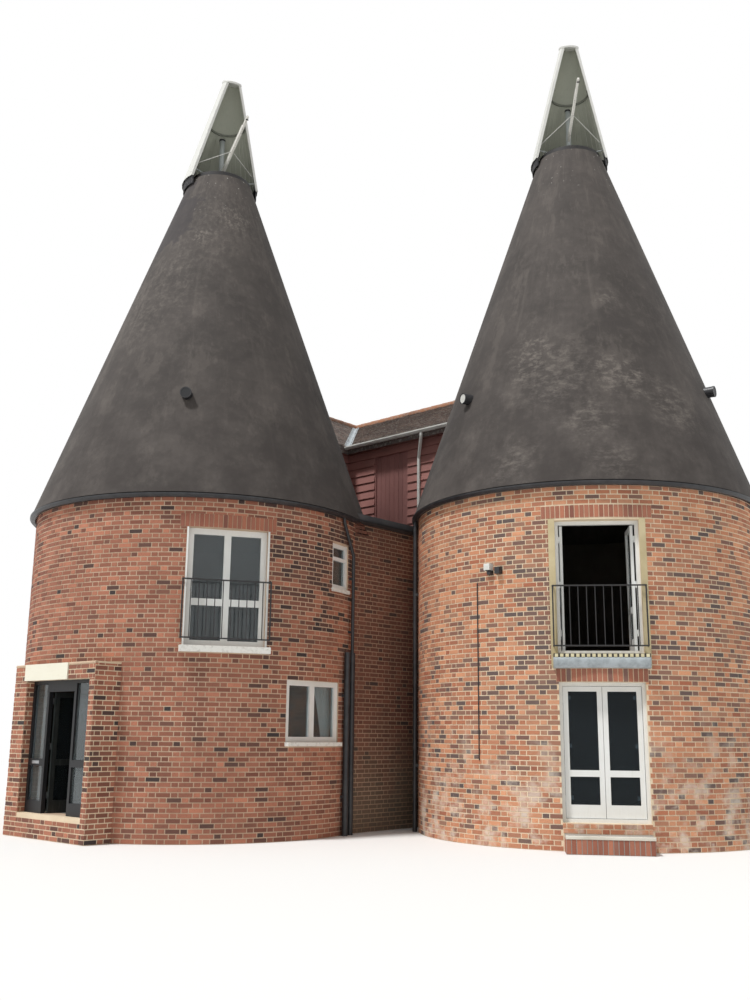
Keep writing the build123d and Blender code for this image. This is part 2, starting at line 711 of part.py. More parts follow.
def hinge_level(plane, height):
    """Level plane at a height, with x as the bay's x and y inwards from the plane's face."""
    origin = plane.from_local_coords((0, height, 0))
    return Plane(origin=tuple(origin), x_dir=tuple(plane.x_dir), z_dir=(0, 0, 1))


def hinge_eye(plane, hinge_x, hand, height):
    """The strap on a leaf's inner face and its eye around the pintle.
    The hand is 1 where the leaf lies to the right of the hinge."""
    axis_depth = LEAF_THICKNESS + PINTLE_STANDOFF
    with BuildPart() as eye:
        with BuildSketch(hinge_level(plane, height)):
            with Locations((hinge_x, axis_depth)):
                Circle(EYE_RADIUS)
            with Locations((hinge_x + hand * STRAP_LENGTH / 2, LEAF_THICKNESS + EYE_WALL / 2)):
                Rectangle(STRAP_LENGTH, EYE_WALL)
            with Locations((hinge_x + hand * EYE_RADIUS / 2, LEAF_THICKNESS + PINTLE_STANDOFF / 2)):
                Rectangle(EYE_RADIUS, PINTLE_STANDOFF)
            with Locations((hinge_x, axis_depth)):
                Circle(PINTLE_RADIUS + PINTLE_CLEARANCE, mode=Mode.SUBTRACT)
        extrude(amount=EYE_HEIGHT)
    return eye.part


def pintle(plane, hinge_x, hand, height):
    """The pin in a leaf's eye and the bracket below it, on the frame's inner face."""
    arm = LEAF_GAP + FRAME_WIDTH / 2
    with BuildPart() as pin:
        with BuildSketch(hinge_level(plane, height - BRACKET_HEIGHT)):
            with Locations((hinge_x, FRAME_DEPTH + PINTLE_STANDOFF)):
                Circle(EYE_RADIUS)
            with Locations((hinge_x - hand * arm / 2, FRAME_DEPTH + PINTLE_STANDOFF)):
                Rectangle(arm, 2 * EYE_RADIUS)
            with Locations((hinge_x - hand * (arm + LEAF_GAP) / 2, FRAME_DEPTH + PINTLE_STANDOFF / 2)):
                Rectangle(arm - LEAF_GAP, PINTLE_STANDOFF)
        extrude(amount=BRACKET_HEIGHT - SEAT_GAP)
        with BuildSketch(hinge_level(plane, height - SEAT_GAP)):
            with Locations((hinge_x, FRAME_DEPTH + PINTLE_STANDOFF)):
                Circle(PINTLE_RADIUS)
        extrude(amount=EYE_HEIGHT + SEAT_GAP)
    return pin.part


def hung_leaf(plane, hinge_x, hand, width, low, high, rail):
    """A leaf with its hinge eyes, as one solid, and its glass."""
    front = plane.offset(-(FRAME_DEPTH - LEAF_THICKNESS))
    left, right = sorted((hinge_x, hinge_x + hand * width))
    leaf = door_leaf(front, left, right, low, high, rail)
    for height in HINGE_HEIGHTS:
        leaf = leaf + hinge_eye(front, hinge_x, hand, low + height)
    return leaf, leaf_glass(front, left, right, low, high, rail)


def hinge_axis(plane, hinge_x):
    """Where a leaf's upright hinge axis stands."""
    foot = plane.from_local_coords((hinge_x, 0, -FRAME_DEPTH - PINTLE_STANDOFF))
    return Axis(tuple(foot), (0, 0, 1))


right_frame_plane = RIGHT.bay(RIGHT_BAY_ANGLE).offset(jamb_depth(RIGHT_BAY_WIDTH))
joint_points = {}


def double_door(plane, width, sill, head):
    """Frame with pintles, and both leaves with their glass, shut."""
    half = width / 2 - SEAT_GAP
    inner = half - FRAME_WIDTH
    frame = framed(plane, -half, half, sill, head - SEAT_GAP, FRAME_DEPTH, FRAME_WIDTH)
    low = sill + FRAME_WIDTH + LEAF_GAP
    high = head - SEAT_GAP - FRAME_WIDTH - LEAF_GAP
    leaf_width = inner - LEAF_GAP * 1.5
    leaves = []
    for hand in (1, -1):
        hinge_x = -hand * (inner - LEAF_GAP)
        for height in HINGE_HEIGHTS:
            frame = frame + pintle(plane, hinge_x, hand, low + height)
        rail = low + LEAF_MID_RAIL_HEIGHT
        leaf, glass = hung_leaf(plane, hinge_x, hand, leaf_width, low, high, rail)
        leaves.append((leaf, glass, hinge_axis(plane, hinge_x), hand))
    return frame, leaves


frame, leaves = double_door(right_frame_plane, RIGHT_BAY_WIDTH, RIGHT_DOOR_SILL, RIGHT_DOOR_HEAD)
keep("right_door_frame", frame)
for side, (leaf, glass, axis, hand) in zip(("left", "right"), leaves):
    keep(f"right_door_{side}_leaf", leaf)
    keep(f"right_door_{side}_glass", glass)
    joint_points[f"right_door_{side}"] = axis.position

frame, leaves = double_door(right_frame_plane, RIGHT_BAY_WIDTH, RIGHT_UPPER_SILL, RIGHT_UPPER_HEAD)
keep("right_upper_frame", frame)
open_leaves = [leaf.rotate(axis, hand * UPPER_LEAF_OPEN) for leaf, glass, axis, hand in leaves]
open_glass = [glass.rotate(axis, hand * UPPER_LEAF_OPEN) for leaf, glass, axis, hand in leaves]
keep("right_upper_leaves", Compound(children=[s for leaf in open_leaves for s in leaf.solids()]))

# Fixed windows of the left kiln
french_plane = LEFT.bay(LEFT_FRENCH_ANGLE).offset(jamb_depth(LEFT_FRENCH_WIDTH))
lower_plane = LEFT.bay(LOWER_WINDOW_ANGLE).offset(jamb_depth(LOWER_WINDOW_WIDTH, SHALLOW_REVEAL))
small_plane = LEFT.bay(SMALL_WINDOW_ANGLE).offset(jamb_depth(SMALL_WINDOW_WIDTH, SHALLOW_REVEAL))
fixed_glass = [solid for glass in open_glass for solid in glass.solids()]


def window(plane, width, sill, head, border, mullions, transoms, bar):
    """A fixed window frame, with its panes added to the sheets of glass."""
    half = width / 2 - SEAT_GAP
    top = head - SEAT_GAP
    frame = framed(plane, -half, half, sill, top, FRAME_DEPTH, border, mullions, transoms, bar)
    columns = [-half + border, *[x + side * bar / 2 for x in mullions for side in (-1, 1)], half - border]
    rows = [sill + border, *[y + side * bar / 2 for y in transoms for side in (-1, 1)], top - border]
    for left, right in zip(columns[::2], columns[1::2]):
        for low, high in zip(rows[::2], rows[1::2]):
            fixed_glass.extend(pane(plane, left, right, low, high, FRAME_DEPTH / 2).solids())
    return frame


french_rail = LEFT_FRENCH_SILL + FRENCH_RAIL_HEIGHT
small_transom = SMALL_WINDOW_HEAD - SMALL_TRANSOM_DROP
french_size = (LEFT_FRENCH_WIDTH, LEFT_FRENCH_SILL, LEFT_FRENCH_HEAD)
lower_size = (LOWER_WINDOW_WIDTH, LOWER_WINDOW_SILL, LOWER_WINDOW_HEAD)
small_size = (SMALL_WINDOW_WIDTH, SMALL_WINDOW_SILL, SMALL_WINDOW_HEAD)
french_doors = window(french_plane, *french_size, FRENCH_BORDER, (0.0,), (french_rail,), SASH_BAR)
lower_window = window(lower_plane, *lower_size, LOWER_WINDOW_BORDER, (0.0,), (), SASH_BAR)
small_window = window(small_plane, *small_size, SMALL_WINDOW_BORDER, (), (small_transom,), SMALL_BAR)
keep("left_upper_doors", french_doors)
keep("left_lower_window", lower_window)
keep("left_small_window", small_window)

# Entrance: brick porch surround, timber screen with fixed side lights, door that stands open
entrance = LEFT.bay(ENTRANCE_ANGLE)
screen_plane = entrance.offset(PORCH_FACE - SCREEN_SETBACK)
kiln_columns = [kiln.body(KILN_RADIUS + SEAT_GAP) for kiln in (LEFT, RIGHT)]
with BuildPart() as porch:
    with BuildSketch(entrance.offset(KILN_INSIDE - PORCH_REACH)):
        with Locations(((PORCH_LEFT + PORCH_RIGHT) / 2, PORCH_TOP / 2)):
            Rectangle(PORCH_RIGHT - PORCH_LEFT, PORCH_TOP)
        with Locations(((SCREEN_LEFT + SCREEN_RIGHT) / 2, (GROUND_FLOOR + SCREEN_HEAD) / 2)):
            Rectangle(SCREEN_RIGHT - SCREEN_LEFT, SCREEN_HEAD - GROUND_FLOOR, mode=Mode.SUBTRACT)
    extrude(amount=PORCH_FACE - KILN_INSIDE + PORCH_REACH)
    add(kiln_columns[0], mode=Mode.SUBTRACT)
keep("porch_surround", porch.part)

entrance_left_inner = ENTRANCE_POST_LEFT + ENTRANCE_POST_WIDTH / 2
entrance_right_inner = ENTRANCE_POST_RIGHT - ENTRANCE_POST_WIDTH / 2
screen_low = GROUND_FLOOR + SEAT_GAP
screen_high = SCREEN_HEAD - SEAT_GAP
screen_left = SCREEN_LEFT + SEAT_GAP
screen_right = SCREEN_RIGHT - SEAT_GAP
side_lights = (
    (screen_left + FRAME_WIDTH, ENTRANCE_POST_LEFT - ENTRANCE_POST_WIDTH / 2),
    (ENTRANCE_POST_RIGHT + ENTRANCE_POST_WIDTH / 2, screen_right - FRAME_WIDTH),
)
with BuildPart() as screen:
    with BuildSketch(screen_plane):
        with Locations(((screen_left + screen_right) / 2, (screen_low + screen_high) / 2)):
            Rectangle(screen_right - screen_left, screen_high - screen_low)
        door_low, door_high = screen_low, ENTRANCE_DOOR_HEAD
        with Locations(((entrance_left_inner + entrance_right_inner) / 2, (door_low + door_high) / 2)):
            Rectangle(entrance_right_inner - entrance_left_inner, door_high - door_low, mode=Mode.SUBTRACT)
        rows = (
            (screen_low + LEAF_BOTTOM_RAIL, SCREEN_RAIL_HEIGHT - SCREEN_RAIL / 2),
            (SCREEN_RAIL_HEIGHT + SCREEN_RAIL / 2, screen_high - FRAME_WIDTH),
        )
        for left, right in side_lights:
            for low, high in rows:
                with Locations(((left + right) / 2, (low + high) / 2)):
                    Rectangle(right - left, high - low, mode=Mode.SUBTRACT)
    extrude(amount=-FRAME_DEPTH)
entrance_screen = screen.part
for left, right in side_lights:
    for low, high in rows:
        fixed_glass.extend(pane(screen_plane, left, right, low, high, FRAME_DEPTH / 2).solids())

entrance_low = screen_low + LEAF_GAP
entrance_high = ENTRANCE_DOOR_HEAD - LEAF_GAP
entrance_hinge = entrance_left_inner + LEAF_GAP
entrance_width = entrance_right_inner - entrance_left_inner - 2 * LEAF_GAP
for height in HINGE_HEIGHTS:
    entrance_screen = entrance_screen + pintle(screen_plane, entrance_hinge, 1, entrance_low + height)
keep("entrance_screen", entrance_screen)
leaf, glass = hung_leaf(
    screen_plane, entrance_hinge, 1, entrance_width, entrance_low, entrance_high, SCREEN_RAIL_HEIGHT
)
entrance_axis = hinge_axis(screen_plane, entrance_hinge)
keep("entrance_door_leaf", leaf.rotate(entrance_axis, ENTRANCE_DOOR_OPEN))
keep("entrance_door_glass", glass.rotate(entrance_axis, ENTRANCE_DOOR_OPEN))
joint_points["entrance_door"] = entrance_axis.position
keep("fixed_glass", Compound(children=fixed_glass))

with BuildPart() as sign:
    with BuildSketch(entrance.offset(PORCH_FACE + SEAT_GAP)):
        with Locations(((SIGN_LEFT + SIGN_RIGHT) / 2, (SCREEN_HEAD + PORCH_TOP) / 2)):
            Rectangle(SIGN_RIGHT - SIGN_LEFT, PORCH_TOP - SCREEN_HEAD)
    extrude(amount=SIGN_THICKNESS)
keep("sign_board", sign.part)


# Juliet rails across both upper doors, sills and the doorstep
def rail_bars(plane, sill, bearing):
    """Flat-topped rail with thin upright bars, on four stubs that reach the wall."""
    face = bearing + RAIL_STANDOFF
    centre = sill + (RAIL_BOTTOM + RAIL_TOP) / 2
    height = RAIL_TOP - RAIL_BOTTOM
    pitch = (RAIL_WIDTH - RAIL_FRAME) / (RAIL_BAR_COUNT + 1)
    with BuildPart() as rail:
        with BuildSketch(plane.offset(face)):
            with Locations((0, centre)):
                Rectangle(RAIL_WIDTH, height)
                Rectangle(RAIL_WIDTH - 2 * RAIL_FRAME, height - 2 * RAIL_FRAME, mode=Mode.SUBTRACT)
            for index in range(RAIL_BAR_COUNT):
                with Locations((-RAIL_WIDTH / 2 + RAIL_FRAME / 2 + (index + 1) * pitch, centre)):
                    Rectangle(RAIL_BAR, height - RAIL_FRAME)
        extrude(amount=RAIL_FRAME)
        with BuildSketch(plane.offset(face)):
            for x in (-(RAIL_WIDTH - RAIL_FRAME) / 2, (RAIL_WIDTH - RAIL_FRAME) / 2):
                for y in (sill + RAIL_BOTTOM + RAIL_FRAME / 2, sill + RAIL_TOP - RAIL_FRAME / 2):
                    with Locations((x, y)):
                        Rectangle(RAIL_FRAME, RAIL_FRAME)
        wall_there = sqrt(KILN_RADIUS**2 - (RAIL_WIDTH / 2 - RAIL_FRAME) ** 2) + SEAT_GAP
        extrude(amount=wall_there - face)
    return rail.part


def sill_slab(kiln, column, angle, half, top, height, projection):
    """A straight-fronted sill under an opening, cut to the round wall."""
    low, high = top - height, top - SEAT_GAP
    slab = bay_box(kiln, angle, -half, half, low, high, KILN_INSIDE - PORCH_REACH, KILN_RADIUS + projection)
    return slab - column


rail_solids = []
sill_solids = []
for kiln, column, angle, sill in (
    (LEFT, kiln_columns[0], LEFT_FRENCH_ANGLE, LEFT_FRENCH_SILL),
    (RIGHT, kiln_columns[1], RIGHT_BAY_ANGLE, RIGHT_UPPER_SILL),
):
    bearing = sqrt(KILN_RADIUS**2 - (RAIL_WIDTH / 2) ** 2)
    rail_solids.extend(rail_bars(kiln.bay(angle), sill, bearing).solids())
    slab = sill_slab(kiln, column, angle, RAIL_WIDTH / 2, sill, SILL_HEIGHT, SILL_PROJECTION)
    sill_solids.extend(slab.solids())
keep("balcony_rails", Compound(children=rail_solids))

for angle, width, sill in (
    (LOWER_WINDOW_ANGLE, LOWER_WINDOW_WIDTH, LOWER_WINDOW_SILL),
    (SMALL_WINDOW_ANGLE, SMALL_WINDOW_WIDTH, SMALL_WINDOW_SILL),
):
    half = width / 2 + WINDOW_SILL_HORN
    slab = sill_slab(LEFT, kiln_columns[0], angle, half, sill, WINDOW_SILL_HEIGHT, WINDOW_SILL_PROJECTION)
    sill_solids.extend(slab.solids())
keep("window_sills", Compound(children=sill_solids))

step_half = STEP_WIDTH / 2
step_reach = (KILN_INSIDE - PORCH_REACH, KILN_RADIUS + STEP_DEPTH)
step = bay_box(RIGHT, RIGHT_BAY_ANGLE, -step_half, step_half, 0, STEP_HEIGHT, *step_reach)
keep("door_step", step - kiln_columns[1])


# Link between the kilns, and the barn, on the yard grid
def cone_body(kiln, clearance):
    """The outside of a conical roof as a solid, a little larger."""
    low = kiln.eaves - 2 * CONE_THICKNESS
    with BuildPart() as body:
        with BuildSketch(kiln.level(low)):
            Circle(cone_radius(kiln, low) + clearance)
        with BuildSketch(kiln.level(kiln.cone_top)):
            Circle(CONE_TOP_RADIUS + clearance)
        loft()
    return body.part


cone_bodies = [cone_body(kiln, FLASHING_GAP) for kiln in (LEFT, RIGHT)]


def yard_block(along0, along1, across0, across1, low, high):
    """A rectangular block on the yard grid."""
    with BuildPart() as block:
        with BuildSketch(YARD.offset(low)):
            with Locations(((along0 + along1) / 2, (across0 + across1) / 2)):
                Rectangle(along1 - along0, across1 - across0)
        extrude(amount=high - low)
    return block.part


def clear_of_kilns(part):
    """Cuts the kilns and their roofs out of a piece that runs into them."""
    for body in kiln_columns + cone_bodies:
        part = part - body
    return part


def solids_of(part, smallest=SLIVER):
    """The solids of a cut piece, without slivers."""
    return [solid for solid in part.solids() if solid.volume > smallest]


def largest(part):
    """The one solid that stays of a piece after the kilns are cut out of it."""
    return max(clear_of_kilns(part).solids(), key=lambda solid: solid.volume)


link_back = corner_across - SEAT_GAP
wall_slab = yard_block(link_face - BARN_WALL, link_face, -KILN_RADIUS, link_back, 0, LINK_TOP)
keep("link_wall", largest(wall_slab))
roof_edge = link_face + LINK_ROOF_OVERHANG
link_left = corner_along + SEAT_GAP
link_high = LINK_TOP + LINK_ROOF_THICKNESS
roof_slab = yard_block(link_left, roof_edge, -KILN_RADIUS, link_back, LINK_TOP, link_high)
keep("link_roof", largest(roof_slab))


def wall_ring(thickness, low, high):
    """The barn's L-shaped outline as a wall of one thickness: its yard side, its outer
    side, and the ends of its two wings."""
    yard_along = corner_along - thickness
    yard_across = corner_across + thickness
    end_along = wing_one_end - thickness
    end_across = wing_two_end + thickness
    yard = yard_block(yard_along, end_along, corner_across, yard_across, low, high)
    yard = yard + yard_block(yard_along, corner_along, end_across, yard_across, low, high)
    back = yard_block(barn_left, end_along, barn_back - thickness, barn_back, low, high)
    back = back + yard_block(barn_left, barn_left + thickness, end_across, barn_back, low, high)
    end_one = yard_block(end_along, wing_one_end, corner_across, barn_back, low, high)
    end_two = yard_block(barn_left, corner_along, wing_two_end, end_across, low, high)
    return yard, back, end_one, end_two


def keep_barn(name, *parts):
    """Keeps pieces of the barn as one node, with the kilns cut out of them."""
    keep(name, Compound(children=[solid for part in parts for solid in solids_of(clear_of_kilns(part))]))


yard, back, end_one, end_two = wall_ring(BARN_WALL, 0, BARN_BRICK_TOP)
keep_barn("barn_yard_wall", yard)
keep_barn("barn_outer_wall", back)
keep_barn("barn_end_walls", end_one, end_two)

yard, back, end_one, end_two = wall_ring(BOARD_WALL, BARN_BRICK_TOP, BARN_EAVES)
loading_left = LOADING_DOOR_CENTRE - LOADING_DOOR_WIDTH / 2
loading_right = LOADING_DOOR_CENTRE + LOADING_DOOR_WIDTH / 2
loading_low = LOADING_DOOR_SILL
loading_high = loading_low + LOADING_DOOR_HEIGHT
hole_front = corner_across - BOARD_WALL
hole_back = corner_across + 2 * BOARD_WALL
door_hole = yard_block(loading_left, loading_right, hole_front, hole_back, loading_low, loading_high)
keep_barn("barn_yard_boarding", yard - door_hole)
keep_barn("barn_outer_boarding", back)
loading_face = corner_across + LOADING_DOOR_RECESS
loading_door = yard_block(
    loading_left + SEAT_GAP,
    loading_right - SEAT_GAP,
    loading_face,
    loading_face + LOADING_DOOR_THICKNESS,
    loading_low,
    loading_high - SEAT_GAP,
)
keep("loading_door", loading_door)

wall = BARN_WALL + SEAT_GAP
floor_solids = []
for low, high in ((0, GROUND_FLOOR), (BARN_BRICK_TOP - BARN_FLOOR_THICKNESS, BARN_BRICK_TOP)):
    slab = yard_block(
        barn_left + wall, wing_one_end - wall, corner_across + wall, barn_back - wall, low, high
    )
    slab = slab + yard_block(
        barn_left + wall, corner_along - wall, wing_two_end + wall, barn_back - wall, low, high
    )
    floor_solids.extend(solids_of(clear_of_kilns(slab)))
keep("barn_floors", Compound(children=floor_solids))


# Barn roof: two pitched wings that meet at the corner of the L on a mitre
class Wing:
    """One wing of the barn: the plane of its gable end, its middle, span and length."""

    def __init__(self, plane, centre, span, length):
        self.plane = plane
        self.centre = centre
        self.half = span / 2
        self.length = length
        self.overhang = EAVES_DROP * self.half / ROOF_RISE

    def fold(self, lift):
        """Outline of the space under the slopes, raised by a lift."""
        reach = self.half + self.overhang
        low = BARN_EAVES - EAVES_DROP + SEAT_GAP + lift
        high = RIDGE + SEAT_GAP + lift
        return ((self.centre - reach, low), (self.centre, high), (self.centre + reach, low))

    def gable(self):
        """The triangle of boarded wall under the two slopes at the wing's end."""
        with BuildPart() as triangle:
            with BuildSketch(self.plane):
                with BuildLine():
                    feet = (self.centre - self.half, BARN_EAVES), (self.centre + self.half, BARN_EAVES)
                    Polyline(*feet, (self.centre, RIDGE), close=True)
                make_face()
            extrude(amount=-BOARD_WALL)
        return triangle.part

    def roof(self):
        """Both slopes as one folded slab, run past the corner of the L."""
        with BuildPart() as slab:
            with BuildSketch(self.plane.offset(VERGE_OVERHANG)):
                with BuildLine():
                    Polyline(*self.fold(0), *reversed(self.fold(ROOF_THICKNESS)), close=True)
                make_face()
            extrude(amount=-(self.length + VERGE_OVERHANG))
        return slab.part

    def ridge(self):
        """Rounded ridge tiles bedded solid on the two slopes."""
        top = RIDGE + ROOF_THICKNESS + RIDGE_TILE_RISE
        with BuildPart() as tiles:
            with BuildSketch(self.plane.offset(VERGE_OVERHANG)):
                with Locations((self.centre, top - RIDGE_TILE_RADIUS)):
                    RegularPolygon(RIDGE_TILE_RADIUS, RIDGE_TILE_SIDES)
                with BuildLine():
                    Polyline(*self.fold(ROOF_THICKNESS + SEAT_GAP), close=True)
                make_face(mode=Mode.SUBTRACT)
            extrude(amount=-(self.length + VERGE_OVERHANG))
        return tiles.part


ridge_along = (barn_left + corner_along) / 2
ridge_across = (barn_back + corner_across) / 2
end_one_plane = Plane(
    origin=tuple(YARD.from_local_coords((wing_one_end, 0, 0))),
    x_dir=tuple(across_dir),
    z_dir=tuple(along_dir),
)
end_two_plane = Plane(
    origin=tuple(YARD.from_local_coords((0, wing_two_end, 0))),
    x_dir=tuple(along_dir),
    z_dir=tuple(-across_dir),
)
wing_one = Wing(end_one_plane, ridge_across, WING_ONE_SPAN, wing_one_end - barn_left + WING_TWO_SPAN / 2)
wing_two = Wing(end_two_plane, ridge_along, WING_TWO_SPAN, barn_back - wing_two_end + WING_ONE_SPAN / 2)
keep_barn("barn_gables", end_one + wing_one.gable(), end_two + wing_two.gable())


def mitre_half(part, hand, gap=0.0):
    """The part of a wing on its own side of the mitre, which runs from the yard's corner
    to the outer corner of the L. The hand is -1 for wing one."""
    crossing = YARD.from_local_coords((ridge_along, ridge_across, 0))
    line = -along_dir * wing_two.half + across_dir * wing_one.half
    reach = 2 * (wing_one.length + wing_two.length)
    with BuildPart() as half_plane:
        with BuildSketch(Plane(origin=tuple(crossing), x_dir=tuple(line), z_dir=(0, 0, 1))):
            with Locations((0, hand * (reach / 2 + gap))):
                Rectangle(2 * reach, reach)
        extrude(amount=2 * RIDGE)
    return part & half_plane.part


keep_barn("barn_roof_wing_one", mitre_half(wing_one.roof(), -1))
keep_barn("barn_roof_wing_two", mitre_half(wing_two.roof(), 1))
keep_barn("barn_ridge_tiles", mitre_half(wing_one.ridge(), -1), mitre_half(wing_two.ridge(), 1, SEAT_GAP))

# Gutters: round the open parts of the kilns' eaves, along the link, and along the barn
gutter_block = GUTTER_STOP + 2 * GUTTER_RADIUS
built_over = [
    yard_block(barn_left, wing_one_end, corner_across - SEAT_GAP, barn_back, 0, RIDGE),
    yard_block(barn_left, corner_along + SEAT_GAP, wing_two_end - SEAT_GAP, barn_back, 0, RIDGE),
    yard_block(corner_along, link_face + gutter_block, -KILN_RADIUS / 2, corner_across, 0, RIDGE),
]


def gutter_section(centre):
    """Sketch of a half-round gutter, its faces flat enough to bend in short lengths."""
    with Locations(centre):
        for radius, mode in ((GUTTER_RADIUS, Mode.ADD), (GUTTER_RADIUS - GUTTER_WALL, Mode.SUBTRACT)):
            RegularPolygon(radius, GUTTER_SIDES, major_radius=False, rotation=180 / GUTTER_SIDES, mode=mode)
    with Locations((centre[0], centre[1] + GUTTER_RADIUS)):
        Rectangle(3 * GUTTER_RADIUS, 2 * GUTTER_RADIUS, mode=Mode.SUBTRACT)


def gutter_ring(kiln):
    """Half-round gutter on the wall under the eaves of a conical roof."""
    with BuildPart() as gutter:
        with BuildSketch(Plane(origin=(kiln.x, 0, 0), x_dir=(1, 0, 0), z_dir=(0, -1, 0))):
            gutter_section((KILN_RADIUS + GUTTER_RADIUS + SEAT_GAP, kiln.eaves - GUTTER_DROP))
        revolve(axis=Axis((kiln.x, 0, 0), (0, 0, 1)))
    ring = gutter.part
    for block in built_over:
        ring = ring - block
    return solids_of(ring)


def straight_gutter(plane, centre, length):
    """A straight run of the same gutter, extruded from its section."""
    with BuildPart() as gutter:
        with BuildSketch(plane):
            gutter_section(centre)
        extrude(amount=-length)
    return gutter.part


link_start = Plane(
    origin=tuple(YARD.from_local_coords((0, -KILN_RADIUS, 0))),
    x_dir=tuple(along_dir),
    z_dir=tuple(-across_dir),
)
link_centre = (link_face + GUTTER_RADIUS + SEAT_GAP, LINK_TOP - SEAT_GAP)
link_gutter = largest(straight_gutter(link_start, link_centre, link_back + KILN_RADIUS))
keep("gutters", Compound(children=gutter_ring(LEFT) + gutter_ring(RIGHT) + [link_gutter]))

barn_gutter_top = BARN_EAVES - EAVES_DROP + ROOF_THICKNESS - GUTTER_DROP
barn_gutter_out = GUTTER_RADIUS + SEAT_GAP
yard_gutter = (corner_across - wing_one.overhang - barn_gutter_out, barn_gutter_top)
back_gutter = (barn_back + wing_one.overhang + barn_gutter_out, barn_gutter_top)
outer_gutter = (barn_left - wing_two.overhang - barn_gutter_out, barn_gutter_top)
valley = wing_one_end - corner_along - wing_two.overhang - GUTTER_STOP
barn_rainwater = [
    straight_gutter(end_one_plane, yard_gutter, valley),
    straight_gutter(end_one_plane, back_gutter, wing_one_end - barn_left),
    straight_gutter(end_two_plane, outer_gutter, barn_back - wing_two_end),
]


def pipe_run(points, radius):
    """A round pipe along a row of points, with bends swept at its corners."""
    with BuildPart() as pipe:
        with BuildLine():
            path = FilletPolyline(*points, radius=2 * radius)
        with BuildSketch(Plane(origin=points[0], z_dir=path % 0)):
            Circle(radius)
        sweep()
    return pipe.part


def barn_pipe(outlet, foot, bottom):
    """A pipe from a gutter's outlet that necks back to the wall and runs down it."""
    top = barn_gutter_top - GUTTER_RADIUS - SEAT_GAP
    neck = top - 2 * BARN_PIPE_RADIUS
    low = top - BARN_NECK_HEIGHT
    corners = ((*outlet, top), (*outlet, neck), (*foot, low), (*foot, bottom))
    return pipe_run([tuple(YARD.from_local_coords(corner)) for corner in corners], BARN_PIPE_RADIUS)


pipe_out = PIPE_STANDOFF + BARN_PIPE_RADIUS
barn_rainwater.append(
    barn_pipe(
        (BARN_PIPE_ALONG + BARN_NECK_ALONG, yard_gutter[0]),
        (BARN_PIPE_ALONG, corner_across - pipe_out),
        link_high + SEAT_GAP,
    )
)
barn_rainwater.append(
    barn_pipe((ridge_along, back_gutter[0]), (ridge_along, barn_back + pipe_out), 0)
)
barn_rainwater.append(
    barn_pipe((outer_gutter[0], -ridge_along), (barn_left - pipe_out, -ridge_along), 0)
)
barn_rainwater = [largest(part) for part in barn_rainwater]
keep("barn_rainwater", Compound(children=barn_rainwater))


# Black rainwater and soil pipes down the kilns' walls
def clip(kiln, column, angle, radius, height):
    """A block that carries a pipe off the round wall."""
    reach = KILN_RADIUS + PIPE_STANDOFF + radius
    return bay_box(kiln, angle, -radius, radius, height, height + CLIP_HEIGHT, KILN_INSIDE, reach) - column


def pipe_point(kiln, angle, radius, height):
    """A point on the middle of a pipe down the round wall."""
    return tuple(kiln.point(angle, KILN_RADIUS + PIPE_STANDOFF + radius, height))


left_gutter_low = LEFT_EAVES - GUTTER_DROP - GUTTER_RADIUS - SEAT_GAP
right_gutter_low = RIGHT_EAVES - GUTTER_DROP - GUTTER_RADIUS - SEAT_GAP
outlet_radius = KILN_RADIUS + GUTTER_RADIUS
neck_points = (
    tuple(LEFT.point(LEFT_OUTLET_ANGLE, outlet_radius, left_gutter_low)),
    tuple(LEFT.point(LEFT_OUTLET_ANGLE, outlet_radius, left_gutter_low - 2 * THIN_PIPE_RADIUS)),
    pipe_point(LEFT, LEFT_PIPE_ANGLE, SOIL_PIPE_RADIUS, LEFT_NECK_LOW),
    pipe_point(LEFT, LEFT_PIPE_ANGLE, SOIL_PIPE_RADIUS, LEFT_PIPE_TOP - THIN_PIPE_RADIUS),
)
left_pipe = pipe_run(neck_points, THIN_PIPE_RADIUS)
right_top = pipe_point(RIGHT, RIGHT_PIPE_ANGLE, DOWNPIPE_RADIUS, right_gutter_low)
right_pipe = rod(right_top, pipe_point(RIGHT, RIGHT_PIPE_ANGLE, DOWNPIPE_RADIUS, 0), DOWNPIPE_RADIUS)
soil_pipes = []
for angle in (LEFT_PIPE_ANGLE, LEFT_SOIL_ANGLE):
    ends = [pipe_point(LEFT, angle, SOIL_PIPE_RADIUS, height) for height in (0, LEFT_PIPE_TOP)]
    soil_pipes.append(rod(*ends, SOIL_PIPE_RADIUS))
for share in CLIP_SHARES:
    height = share * LEFT_PIPE_TOP
    soil_pipes = [
        pipe + clip(LEFT, kiln_columns[0], angle, SOIL_PIPE_RADIUS, height)
        for pipe, angle in zip(soil_pipes, (LEFT_PIPE_ANGLE, LEFT_SOIL_ANGLE))
    ]
    height = share * right_gutter_low
    right_pipe = right_pipe + clip(RIGHT, kiln_columns[1], RIGHT_PIPE_ANGLE, DOWNPIPE_RADIUS, height)
    height = LEFT_PIPE_TOP + share * (LEFT_NECK_LOW - LEFT_PIPE_TOP)
    left_pipe = left_pipe + clip(LEFT, kiln_columns[0], LEFT_PIPE_ANGLE, THIN_PIPE_RADIUS, height)
soil_pipes[0] = soil_pipes[0] + left_pipe
keep("kiln_pipes", Compound(children=[right_pipe.solid(), soil_pipes[0].solid(), soil_pipes[1].solid()]))

# Short vent pipes on the cones, and the two lamps beside the right kiln's doors
vents = []
for side, angle, share in CONE_VENTS:
    kiln = (LEFT, RIGHT)[side]
    height = kiln.eaves + share * kiln.cone_height
    vent_end = cone_radius(kiln, height) + VENT_LENGTH
    ends = [tuple(kiln.point(angle, reach, height)) for reach in (0, vent_end)]
    vents.append((rod(*ends, VENT_RADIUS) - cone_body(kiln, SEAT_GAP)).solid())
keep("cone_vents", Compound(children=vents))

